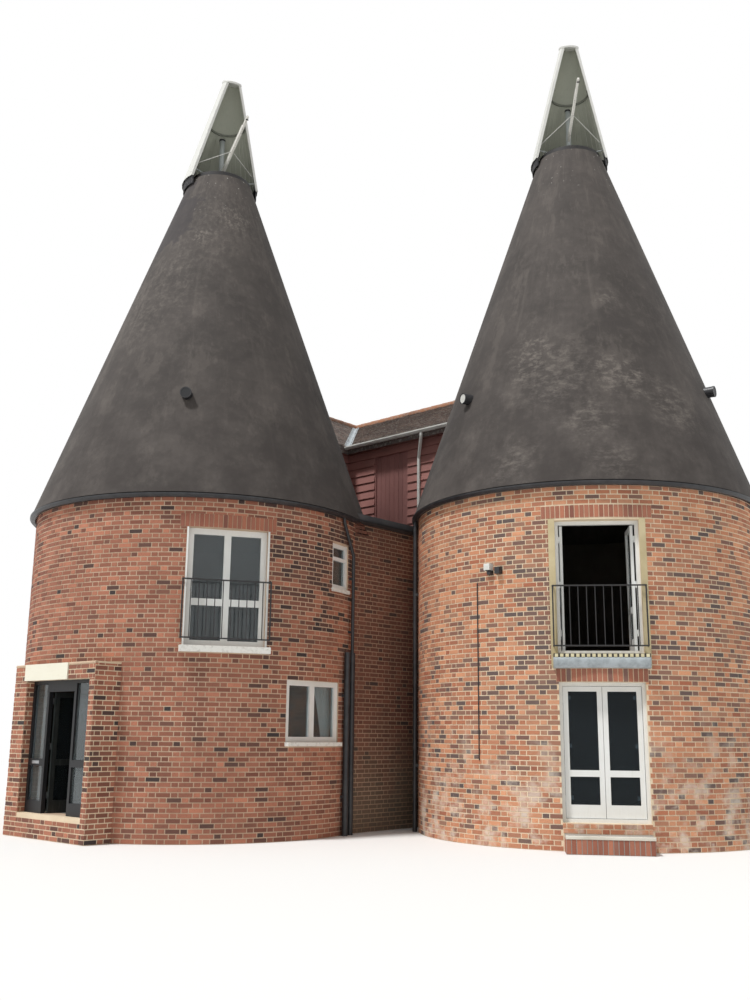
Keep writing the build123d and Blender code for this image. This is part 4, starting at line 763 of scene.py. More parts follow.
@dataclass(frozen=True)
class TarRender:
    """Tarred render of a cone: brown grey, with pale runs down the slope and patched places.

    A patch is a point, a radius and a strength: above 0 a pale smear, below 0 a dark stain.
    """

    kiln: Kiln
    patches: tuple[Spot, ...]
    base: Triple = (80, 74, 70)
    dark: Triple = (60, 55, 52)
    pale: Triple = (104, 97, 91)
    foot: Triple = (54, 48, 45)
    smear: Triple = (136, 128, 120)
    blot: Triple = (52, 48, 50)
    lime: Triple = (196, 192, 186)

    def material(self) -> bpy.types.Material:
        """Runs lie on the circle of the wall, drawn out by a share of the height; the rest lies in place."""
        g = Graph(f"{self.kiln.name}_tar_render")
        place = g.place((self.kiln.x, self.kiln.y, 0))
        x, y, z = g.split(place)
        angle = g.maths("ARCTAN2", y, x)
        ring = [g.times(g.maths(axis, angle), 3.0) for axis in ("COSINE", "SINE")]
        runs, worn, scraped = (
            g.noise(g.join(*ring, g.times(z, share)), *spread)
            for share, *spread in ((0.12, 4.0, 5.0, 0.65), (0.7, 1.7, 5.0, 0.7), (2.2, 5.0, 6.0, 0.75))
        )
        spreads = (0.8, 5.0, 0.6), (6.0, 4.0, 0.6), (60.0, 4.0, 0.7), (1.6, 5.0, 0.65), (17.0, 3.0, 0.5)
        wide, trowel, grit, soot, flecks = (g.noise(place, *spread) for spread in spreads)
        colour = g.mix(g.band(wide, 0.38, 0.64), self.base, self.dark)
        for tone, value, low, high, most in (
            (self.pale, runs, 0.56, 0.78, 0.4), (self.dark, runs, 0.44, 0.28, 0.35),
            (self.pale, trowel, 0.5, 0.75, 0.3), (self.pale, worn, 0.54, 0.6, 0.3),
            (self.dark, worn, 0.44, 0.38, 0.4),
        ):
            colour = g.stain(colour, tone, value, low, high, most)
        near_foot = g.band(z, self.kiln.eaves + 3.4, self.kiln.eaves + 0.3)
        colour = g.mix(g.times(g.fade(soot, 0.3, 0.66, 0.85), near_foot), colour, self.foot)
        near_top = g.band(z, self.kiln.cone_top - 1.3, self.kiln.cone_top)
        colour = g.mix(g.times(g.band(flecks, 0.69, 0.74), near_top), colour, self.lime)
        ragged = g.noise(place, 3.2, 6.0, 0.72)
        scraped = g.band(scraped, 0.47, 0.66)
        for *spot, radius, strength in self.patches:
            away = g.node("ShaderNodeVectorMath", (0, g.place()), (1, spot), operation="DISTANCE")
            edge = g.plus(away.outputs["Value"], g.times(ragged, radius * 2.2))
            soft, tone = (0.45, self.smear) if strength > 0 else (0.08, self.blot)
            share = g.fade(edge, radius * (2.0 + soft), radius * (2.0 - soft), abs(strength))
            colour = g.mix(g.times(share, scraped) if strength > 0 else share, colour, tone)
        g.bump(g.plus(g.times(trowel, 0.7), g.times(grit, 0.3)), 0.012, 0.6)
        return g.finish(colour, 0.86)


class Grain(Enum):
    """Which way the grain of a piece of wood runs."""

    LEVEL = (0.12, 0.12, 1.0)
    UPRIGHT = (1.0, 1.0, 0.1)


@dataclass(frozen=True)
class WoodFinish:
    """Painted or bare wood: paint, what shows where it wears, and grain along the piece."""

    name: str
    paint: Triple
    worn: Triple
    grain: Grain = Grain.UPRIGHT
    wear: float = 0.4
    tones: float = 0.0
    roughness: float = 0.5
    relief: float = 0.0015

    def material(self) -> bpy.types.Material:
        """Long noise along the grain wears the paint; boards may differ by their own tone."""
        g = Graph(self.name)
        grain = g.noise(g.place(scale=self.grain.value), 45.0, 5.0, 0.6)
        colour = g.stain(self.paint, self.worn, g.noise(g.place(), 2.2, 4.0, 0.6), 0.4, 0.75, 0.3)
        if self.tones:
            colour = g.mix(g.times(g.attribute("tone"), self.tones), colour, dimmed(self.paint, 0.72))
        colour = g.stain(colour, self.worn, grain, 0.56, 0.72, self.wear)
        g.bump(grain, self.relief, 0.6)
        return g.finish(colour, g.plus(g.times(grain, 0.2), self.roughness - 0.1))


@dataclass(frozen=True)
class MetalFinish:
    """Metal, lead or plastic: a colour, a dulled colour, and how bare and how rough it is."""

    name: str
    colour: Triple
    dull: Triple
    metallic: float = 0.0
    roughness: float = 0.4
    spots: float = 18.0

    def material(self) -> bpy.types.Material:
        """Cloudy dulling with fine scratches in the gloss."""
        g = Graph(self.name)
        place = g.place()
        cloud = g.noise(place, self.spots, 5.0, 0.65)
        g.bump(g.noise(place, 160.0, 3.0, 0.5), 0.0006, 0.5)
        rough = g.plus(g.times(cloud, 0.25), self.roughness - 0.1)
        colour = g.stain(self.colour, self.dull, cloud, 0.42, 0.7, 0.6)
        return g.finish(colour, rough, Metallic=self.metallic)


@dataclass(frozen=True)
class TileFinish:
    """Clay tiles: each tile's tone, soot, and grey and ochre lichen in rounded spots."""

    name: str
    light: Triple = (150, 132, 122)
    deep: Triple = (104, 92, 88)
    soot: Triple = (78, 72, 70)
    lichen: Triple = (158, 156, 150)
    ochre: Triple = (176, 150, 96)
    spots: float = 0.7

    def material(self) -> bpy.types.Material:
        """Tone for each tile, then soot by wide noise, then lichen where finer noise is high."""
        g = Graph(self.name)
        place = g.place()
        colour = g.mix(g.attribute("tone"), self.deep, self.light)
        for tone, spread, low, high, most in (
            (self.soot, (1.3, 4.0, 0.6), 0.45, 0.7, 0.5),
            (self.lichen, (16.0, 5.0, 0.6), 0.5, 0.62, self.spots),
            (self.ochre, (29.0, 3.0, 0.5), 0.66, 0.72, 0.6),
        ):
            colour = g.stain(colour, tone, g.noise(place, *spread), low, high, most)
        g.bump(g.noise(place, 55.0, 4.0, 0.6), 0.002)
        return g.finish(colour, 0.88)


@dataclass(frozen=True)
class CowlFrameFinish:
    """The turning frame: black ring and skirt, grey steel spindle with a black cap, grey-green hoop."""

    kiln: Kiln
    spindle: float = 0.062
    cap_share: float = 0.4695

    def material(self) -> bpy.types.Material:
        """By place: near the axis is the spindle, above the hood's foot is the hoop, the rest is black."""
        g = Graph(f"{self.kiln.name}_cowl_frame_finish")
        place = g.place((self.kiln.x, self.kiln.y, self.kiln.hood_base))
        x, y, z = g.split(place)
        peel = g.noise(place, 22.0, 5.0, 0.65)
        black = g.mix(g.band(peel, 0.56, 0.64), (33, 33, 36), (92, 90, 88))
        # The hoop's grey-green, darker than the lining, is partly its own paint and partly a painted shadow
        # line along it.
        green = g.mix(g.band(peel, 0.4, 0.7), (128, 130, 120), (104, 107, 98))
        steel = g.mix(g.band(peel, 0.4, 0.7), (176, 182, 186), (146, 150, 154))
        cap = g.maths("GREATER_THAN", z, self.cap_share * self.kiln.hood_height)
        near = g.band(g.away(x, y), self.spindle, self.spindle - 0.001)
        frame_colour = g.mix(g.band(z, 0.02, 0.03), black, green)
        g.bump(peel, 0.003, 0.6)
        return g.finish(g.mix(near, frame_colour, g.mix(cap, steel, black)), 0.7)


@dataclass(frozen=True)
class VaneFinish:
    """The fly board's white paint, with bare grey steel on its two stays."""

    kiln: Kiln
    half_board: float = 0.0201

    def material(self) -> bpy.types.Material:
        """Beyond half of the board's thickness from its middle plane is a stay."""
        g = Graph(f"{self.kiln.name}_vane_finish")
        turned = g.place((self.kiln.x, self.kiln.y, 0), -self.kiln.cowl_angle)
        side = g.maths("ABSOLUTE", g.split(turned)[1])
        wear = g.noise(g.place(), 26.0, 5.0, 0.6)
        board = g.stain((226, 224, 216), (150, 148, 142), wear, 0.5, 0.68, 0.6)
        steel = g.mix(wear, (206, 206, 200), (156, 156, 150))
        g.bump(wear, 0.001, 0.5)
        return g.finish(g.mix(g.band(side, self.half_board, self.half_board + 0.0005), board, steel), 0.55)


@dataclass(frozen=True)
class GlassFinish:
    """Window glass, a little uneven as it was drawn."""

    name: str
    colour: Triple = (120, 134, 142)
    bend: float = 1.2

    def material(self) -> bpy.types.Material:
        """Dim glass whose surface waves by wide noise, with a faint bloom of dust."""
        g = Graph(self.name)
        place = g.place()
        g.bump(g.noise(place, 2.5, 2.0, 0.4), 0.004, 0.35)
        rough = g.plus(g.fade(g.noise(place, 6.0, 4.0, 0.6), 0.5, 0.8, 0.12), 0.03)
        return g.finish(self.colour, rough, Transmission_Weight=0.95, IOR=self.bend)


@dataclass(frozen=True)
class SillFinish:
    """White paint on the left kiln's sills; a dark bed under the brick sill of the right kiln."""

    name: str

    def material(self) -> bpy.types.Material:
        """By place: right of the middle of the house is the bed."""
        g = Graph(self.name)
        place = g.place()
        wear = g.noise(place, 18.0, 5.0, 0.6)
        paint = g.stain((228, 227, 220), (170, 166, 156), wear, 0.5, 0.7, 0.5)
        bed = g.mix(wear, (60, 54, 48), (38, 34, 30))
        g.bump(wear, 0.0015, 0.5)
        return g.finish(g.mix(g.maths("GREATER_THAN", g.split(place)[0], 0.0), paint, bed), 0.6)


@dataclass(frozen=True)
class EdgePaint:
    """A dark door whose closing edge is painted teal, by distance from the line of its hinges."""

    name: str
    hinge: Triple = (-5.38648, -6.05929, 0.0)
    width: float = 0.70

    def material(self) -> bpy.types.Material:
        """The edge is what lies farther from the hinge line than the leaf's face."""
        g = Graph(self.name)
        x, y, _ = g.split(g.place(self.hinge))
        wear = g.noise(g.place(scale=Grain.UPRIGHT.value), 40.0, 5.0, 0.6)
        face = g.mix(g.band(wear, 0.5, 0.7), (30, 34, 34), (58, 62, 60))
        edge = g.mix(g.band(wear, 0.5, 0.7), (74, 122, 116), (52, 88, 84))
        g.bump(wear, 0.001, 0.5)
        return g.finish(g.mix(g.band(g.away(x, y), self.width, self.width + 0.004), face, edge), 0.4)


RIGHT_BRICK = BrickFinish(
    "right_brick", (228, 164, 124), (168, 98, 70), (92, 80, 78), grime_share=0.25, bloom=0.7
)
# The left kiln's reds, burnt colour and grime are darker than the right kiln's: the same brick with painted
# shade, as the kiln's side in view stands in shade.
LEFT_BRICK = BrickFinish("left_brick", (196, 128, 100), (122, 72, 56), (52, 44, 44), grime=(62, 52, 48))
# The link's bricks and grime are darker than the left kiln's same red brick: painted shade, as the link wall
# stands in shade; the damp near the ground is staining.
LINK_BRICK = BrickFinish(
    "link_brick", (140, 92, 74), (102, 64, 52), (66, 54, 50), grime=(60, 48, 42), grime_share=0.45, damp=0.7
)
BARN_BRICK = BrickFinish("barn_brick", (186, 130, 102), (136, 88, 70), (98, 86, 82))
SOLDIER_BRICK = BrickFinish("soldier_brick", (190, 122, 94), (132, 76, 60), (112, 92, 86), grime_share=0.25)
PALE_MORTAR = StoneFinish("pale_mortar", (232, 214, 186), (208, 186, 156))
# The link's mortar is dimmed by painted shade, as the link wall stands in shade.
SHADED_LINK_MORTAR = StoneFinish("link_mortar_painted_shade", (186, 158, 132), (150, 126, 104))
JAMB_RENDER = StoneFinish("jamb_render", (206, 192, 156), (176, 160, 122), grit=120.0, depth=0.001)
SCREED = StoneFinish("floor_screed", (168, 164, 156), (138, 134, 128), grit=60.0)
NOSING = StoneFinish("step_nosing", (228, 224, 212), (190, 182, 166), grit=110.0)
CREAM_BRICK = StoneFinish("cream_painted_brick", (226, 218, 182), (188, 176, 138), grit=70.0, blotch=5.0)
FELT = StoneFinish("roof_felt", (96, 96, 98), (66, 66, 70), grit=140.0, depth=0.0015)
WHITE_GLOSS = WoodFinish("white_gloss", (230, 231, 228), (204, 202, 194), wear=0.3, roughness=0.4)
BLACK_GLOSS = WoodFinish("black_gloss", (18, 19, 22), (38, 38, 40))
RED_BOARDS = WoodFinish(
    "red_boards", (172, 118, 110), (134, 88, 82), Grain.LEVEL, wear=0.5, tones=0.45, roughness=0.75,
    relief=0.003,
)
RED_PLANKS = WoodFinish(
    "red_planks", (158, 108, 102), (120, 80, 76), wear=0.5, tones=0.5, roughness=0.75, relief=0.003
)
BARE_BOARDS = WoodFinish("bare_boards", (152, 122, 92), (110, 84, 60), Grain.LEVEL, wear=0.6, roughness=0.7)
COWL_WHITE = WoodFinish("cowl_white", (224, 224, 219), (190, 190, 183), tones=0.1)
COWL_GREEN = WoodFinish("cowl_green", (176, 178, 164), (142, 145, 134), tones=0.2, roughness=0.7)
COWL_GREY = WoodFinish("cowl_grey", (178, 184, 182), (146, 150, 150), roughness=0.6)
SIGN_CREAM = WoodFinish("sign_cream", (234, 230, 212), (214, 206, 182), Grain.LEVEL, wear=0.3)
NET = WoodFinish("net_curtain", (226, 226, 222), (196, 196, 192), roughness=0.8)
TEAL_GLOSS = EdgePaint("entrance_door_paint")
IRON = MetalFinish("black_iron", (28, 28, 30), (56, 50, 46), roughness=0.5)
BLACK_PLASTIC = MetalFinish("black_plastic", (34, 34, 37), (66, 66, 68), spots=6.0)
WHITE_PLASTIC = MetalFinish("white_plastic", (222, 223, 218), (190, 188, 180), spots=6.0)
STEEL = MetalFinish("bright_steel", (196, 198, 200), (150, 152, 154), metallic=0.9, roughness=0.35)
LEAD = MetalFinish("sheet_lead", (176, 184, 188), (124, 130, 134), metallic=0.15, roughness=0.6, spots=9.0)
CLAY_TILES = TileFinish("clay_tiles")
RIDGE_CLAY = TileFinish("ridge_clay", (178, 126, 94), (142, 96, 72), spots=0.45)
SILLS = SillFinish("sill_finish")
DOOR_GLASS = GlassFinish("door_glass")
WINDOW_GLASS = GlassFinish("window_glass", (204, 216, 220), bend=1.45)
# The left kiln's mortar tones are darker than the right's: painted shade, as that kiln's side in view stands
# in shade.
KILN_MORTAR = {"left": KilnMortar(LEFT, (205, 180, 155), (178, 152, 128)), "right": KilnMortar(RIGHT)}
KILN_TAR = {
    "left": TarRender(LEFT, (
        (-3.4, -4.9, 11.3, 1.1, 0.24), (-4.5, -5.4, 9.6, 1.2, 0.25), (-4.5, -4.5, 11.35, 0.85, -0.7),
        (-4.35, -4.2, 12.0, 0.5, -0.65), (-3.57, -4.99, 10.8, 0.2, 0.7), (-3.1, -4.7, 11.3, 0.3, 0.5),
    )),
    "right": TarRender(RIGHT, (
        (3.77, -5.65, 9.10, 0.2, 0.5), (2.06, -6.40, 5.97, 0.4, 0.36), (3.54, -6.76, 5.90, 0.36, 0.36),
        (3.84, -6.19, 7.49, 0.4, 0.6), (2.75, -6.1, 7.6, 0.8, 0.36), (2.35, -5.75, 8.0, 0.4, 0.5),
        (3.3, -6.6, 6.6, 0.4, 0.4), (4.6, -6.0, 7.0, 0.5, 0.4),
    )),
}

NODE_FINISHES = {
    PALE_MORTAR: ("barn_yard_wall", "barn_outer_wall", "barn_end_walls", "porch_surround"),
    KILN_MORTAR["right"]: (
        "right_kiln_wall_east", "right_kiln_wall_north_east", "right_kiln_wall_north_west",
        "right_kiln_wall_west", "right_kiln_door_bay",
    ),
    KILN_MORTAR["left"]: (
        "left_kiln_wall_south", "left_kiln_wall_east", "left_kiln_wall_north", "left_kiln_wall_west",
        "left_kiln_entrance_bay",
    ),
    SHADED_LINK_MORTAR: ("link_wall",),
    SCREED: ("kiln_ground_floors", "door_step"),
    BARE_BOARDS: ("kiln_upper_floors", "barn_floors"),
    WHITE_GLOSS: (
        "right_door_frame", "right_door_left_leaf", "right_door_right_leaf", "right_upper_frame",
        "right_upper_leaves", "left_upper_doors", "left_lower_window", "left_small_window",
    ),
    BLACK_GLOSS: ("entrance_screen",),
    TEAL_GLOSS: ("entrance_door_leaf",),
    DOOR_GLASS: ("right_door_left_glass", "right_door_right_glass", "entrance_door_glass"),
    WINDOW_GLASS: ("fixed_glass",),
    SIGN_CREAM: ("sign_board",),
    IRON: ("balcony_rails", "left_cowl_curb", "right_cowl_curb"),
    SILLS: ("window_sills",),
    RED_BOARDS: ("barn_yard_boarding", "barn_outer_boarding", "barn_gables"),
    RED_PLANKS: ("loading_door",),
    CLAY_TILES: ("barn_roof_wing_one", "barn_roof_wing_two"),
    RIDGE_CLAY: ("barn_ridge_tiles",),
    FELT: ("link_roof",),
    BLACK_PLASTIC: ("gutters", "kiln_pipes", "cone_vents", "wall_lamps"),
    WHITE_PLASTIC: ("barn_rainwater",),
    COWL_WHITE: ("left_cowl_hood", "right_cowl_hood"),
    KILN_TAR["left"]: ("left_cone_roof",),
    KILN_TAR["right"]: ("right_cone_roof",),
    CowlFrameFinish(LEFT): ("left_cowl_frame",),
    CowlFrameFinish(RIGHT): ("right_cowl_frame",),
    VaneFinish(LEFT): ("left_cowl_vane",),
    VaneFinish(RIGHT): ("right_cowl_vane",),
}


class Palette:
    """Makes each finish's material once."""

    def __init__(self) -> None:
        """Starts with no material made."""
        self.made: dict[object, bpy.types.Material] = {}

    def of(self, finish: object) -> bpy.types.Material:
        """The material of a finish."""
        if finish not in self.made:
            self.made[finish] = finish.material()
        return self.made[finish]

    def dress(self, piece: bpy.types.Object, finish: object) -> None:
        """Gives a piece one finish all over."""
        piece.data.materials.clear()
        piece.data.materials.append(self.of(finish))


PALETTE = Palette()


def fix(
    patch: Patch, name: str, finish: object, body: str = ROOT, smooth: bool = False,
    wall: float = 0.0,
) -> bpy.types.Object:
    """Meshes a patch, dresses it and sets it on its body.

    Args:
        patch: the surface.
        name: the piece's name.
        finish: its finish.
        body: the body that it rides on.
        smooth: true for rounded forms.
        wall: thickness given to an open sheet, inwards.

    Returns:
        The piece.
    """
    piece = patch.mesh(name, smooth)
    PALETTE.dress(piece, finish)
    if wall:
        solid = piece.modifiers.new("wall", "SOLIDIFY")
        solid.thickness = wall
        solid.offset = -1.0
    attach(piece, body)
    LOG.info("%s: %d faces on %s", name, len(patch.faces), body)
    return piece


# ---------------------------------------------------------------- brickwork


ARCH_LAP = 0.11
BARN_LAP = 0.1
EAVES_GAP = 0.03


@dataclass(frozen=True)
class Opening:
    """A hole in a round wall: angle of its middle, half width, sill, head, standing bricks and jambs."""

    angle: float
    half: float
    sill: float
    head: float
    arch: float = 0.0
    jamb: float = 0.0

    def limits(self, kiln: Kiln) -> Pair:
        """Lengths along the wall of its two sides, with its jambs."""
        return kiln.span(self.angle, self.half + self.jamb)

    def over(self, kiln: Kiln) -> Quad:
        """The rectangle of its standing bricks."""
        left, right = self.limits(kiln)
        return left - ARCH_LAP, right + ARCH_LAP, self.head, self.head + self.arch


@dataclass
class KilnBrickwork:
    """The facing bricks of one kiln, and the standing bricks over its openings.

    A dark place is an angle, a height, half a length, half a height and the share that it adds. On the right
    kiln it stands for burnt bricks; on the left kiln it is partly burnt bricks and partly painted shade.
    """

    kiln: Kiln
    finish: BrickFinish
    slot: str
    openings: tuple[Opening, ...]
    seed: int
    burnt_share: float
    burnt_and_shade_places: tuple[Spot, ...]
    clear: tuple[Quad, ...] = ()

    def facing(self) -> Spans:
        """The bond round the whole kiln, less its openings and what the barn hides."""
        around = 2 * pi * self.kiln.radius
        spans = flemish_bond(-around, 0.0, 0.0, self.kiln.eaves - EAVES_GAP, around=True)
        for hole in self.openings:
            spans = spans.without(*hole.limits(self.kiln), hole.sill, hole.head)
            if hole.arch:
                spans = spans.without(*hole.over(self.kiln))
        for box in self.clear:
            spans = spans.without(*box)
        flush = np.zeros(len(spans.left))
        middle = RoundWall(self.kiln).place((spans.left + spans.right) / 2, spans.low, flush)
        along, across = YARD.local(middle[:, 0], middle[:, 1])
        in_barn = (across > CORNER[1] + BARN_LAP) & (along < WING_ONE_END - BARN_LAP)
        in_barn |= (along < CORNER[0] - BARN_LAP) & (across > WING_TWO_END + BARN_LAP)
        return spans.pick(~in_barn)

    def burnt(self, spans: Spans) -> np.ndarray:
        """Share of dark bricks at each brick: a base, and a bell round each dark place."""
        share = np.full(len(spans.left), self.burnt_share)
        for angle, height, half_length, half_height, more in self.burnt_and_shade_places:
            away = ((spans.left - self.kiln.arc(angle)) / half_length) ** 2
            away += ((spans.low - height) / half_height) ** 2
            share += more * np.exp(-away)
        return share

    def arches(self) -> Spans:
        """A row of bricks on end over each opening."""
        boxes = [hole.over(self.kiln) for hole in self.openings if hole.arch]
        return Spans.join([row_of(left, right, low + 0.004, high) for left, right, low, high in boxes])

    def build(self) -> None:
        """Makes the facing and the arches as two pieces."""
        name, wall, spans = f"{self.kiln.name}_kiln", RoundWall(self.kiln), self.facing()
        facing = blocks(spans, wall, Relief(), self.seed, self.burnt(spans))
        arches = blocks(self.arches(), wall, Relief(0.007, 0.007), self.seed + 1)
        fix(facing, f"{name}_bricks", self.finish)
        fix(arches, f"{name}_arches", SOLDIER_BRICK)


@dataclass
class FlatBrickwork:
    """Facing bricks on flat walls, each a surface with its lengths and levels."""

    name: str
    finish: BrickFinish
    slot: str
    walls: list[Facing]
    seed: int = 5
    burnt_share: float = 0.25

    def build(self) -> None:
        """Lays each wall and joins them into one piece."""
        patches = []
        for index, (wall, left, right, low, high) in enumerate(self.walls):
            spans = flemish_bond(left, right, low, high).shown_on(wall)
            patches.append(blocks(spans, wall, Relief(), self.seed + index, self.burnt_share))
        fix(Patch.join(patches), self.name, self.finish)


BARN_FACES = {
    "yard_one": (FlatWall.on_yard(CORNER, (0.0, -1.0)), CORNER[0], WING_ONE_END),
    "end_one": (FlatWall.on_yard((WING_ONE_END, 0.0), (1.0, 0.0)), CORNER[1], BARN_BACK),
    "back": (FlatWall.on_yard((0.0, BARN_BACK), (0.0, 1.0)), -WING_ONE_END, -BARN_LEFT),
    "outer": (FlatWall.on_yard((BARN_LEFT, 0.0), (-1.0, 0.0)), -BARN_BACK, -WING_TWO_END),
    "end_two": (FlatWall.on_yard((0.0, WING_TWO_END), (0.0, -1.0)), BARN_LEFT, CORNER[0]),
    "yard_two": (FlatWall.on_yard(CORNER, (1.0, 0.0)), WING_TWO_END, CORNER[1]),
}


@dataclass
class BarnBoarding:
    """Feather-edged boards over the barn's upper walls and gables, and the planked loading door."""

    gauge: float = 0.178
    longest: float = 3.6
    gap: float = 0.0015
    lap: float = 0.004
    stile: float = 0.034
    door: Quad = (-2.28, -1.34, 5.56, 7.56)

    def rows(self, left: float, right: float, low: float, high: float, seed: int) -> Spans:
        """Boards of differing lengths in each row, with tight butt joints."""
        levels, _ = course_grid(low, high, self.gauge)
        count = int((right - left) / self.longest) + 2
        shift = np.random.default_rng(seed).uniform(0, self.longest, len(levels))[:, None]
        starts = left - shift + np.arange(count)[None, :] * self.longest
        lows = np.broadcast_to(levels[:, None], starts.shape)
        edges = (starts + self.gap, starts + self.longest - self.gap, lows, lows + self.gauge + self.lap)
        return Spans(*(edge.ravel() for edge in edges)).clipped(left, right, low, high + self.lap)

    def gable(self, centre: float, half: float, seed: int) -> Spans:
        """Rows whose ends follow the two slopes above the eaves."""
        made = self.rows(centre - half, centre + half, BARN_EAVES, BARN_EAVES + ROOF_RISE - 0.1, seed)
        reach = half * (1 - (made.low - BARN_EAVES) / ROOF_RISE)
        left, right = np.maximum(made.left, centre - reach), np.minimum(made.right, centre + reach)
        return Spans(left, right, made.low, made.high).pick(right - left > SLIVER)

    def build(self) -> None:
        """Boards every face from the brick top to the eaves, then the gables, then the door."""
        relief = Relief(foot=0.036, head=0.009, back=-0.003, ease=0.0, wander=0.001)
        patches = []
        for index, (key, (wall, left, right)) in enumerate(BARN_FACES.items()):
            spans = self.rows(left, right, BRICK_TOP, BARN_EAVES, 30 + index)
            if key == "yard_one":
                spans = spans.without(*self.door)
            patches.append(blocks(spans.shown_on(wall), wall, relief, 40 + index))
        gables = ("end_one", RIDGE_CROSSING[1], HALF_ONE), ("end_two", RIDGE_CROSSING[0], HALF_TWO)
        for key, centre, half in gables:
            wall = BARN_FACES[key][0]
            patches.append(blocks(self.gable(centre, half, 50).shown_on(wall), wall, relief, 51))
        fix(Patch.join(patches), "barn_boards", RED_BOARDS)
        left, right, low, high = self.door
        stiles = Spans.of((left, left + self.stile, low, high), (right - self.stile, right, low, high))
        planks = row_of(left + 0.04, right - 0.04, low, high, 0.12, 0.006)
        for name, spans, out, seed in (("edges", stiles, 0.004, 61), ("planks", planks, -0.018, 60)):
            patch = blocks(spans, BARN_FACES["yard_one"][0], Relief(out, out, -0.026, 0.003), seed)
            fix(patch, f"loading_door_{name}", RED_PLANKS)


@dataclass(frozen=True)
class Wing:
    """One arm of the barn's roof: its half span and the other arm's, its overhang, its ridge and its ends."""

    first: bool
    half: float
    other_half: float
    overhang: float
    ridge: float
    start: float
    end: float

    def point(self, along: np.ndarray, level: np.ndarray, height: np.ndarray) -> np.ndarray:
        """A point from its place along the ridge, its level distance outside it, and its height."""
        if self.first:
            x, y = YARD.world(along, self.ridge + level)
        else:
            x, y = YARD.world(self.ridge - level, along)
        return np.stack(np.broadcast_arrays(x, y, height), axis=-1)


VERGE = 0.12
WING_ONE = Wing(True, HALF_ONE, HALF_TWO, 0.221, RIDGE_CROSSING[1], RIDGE_CROSSING[0], WING_ONE_END + VERGE)
WING_TWO = Wing(False, HALF_TWO, HALF_ONE, 0.188, RIDGE_CROSSING[0], RIDGE_CROSSING[1], WING_TWO_END - VERGE)


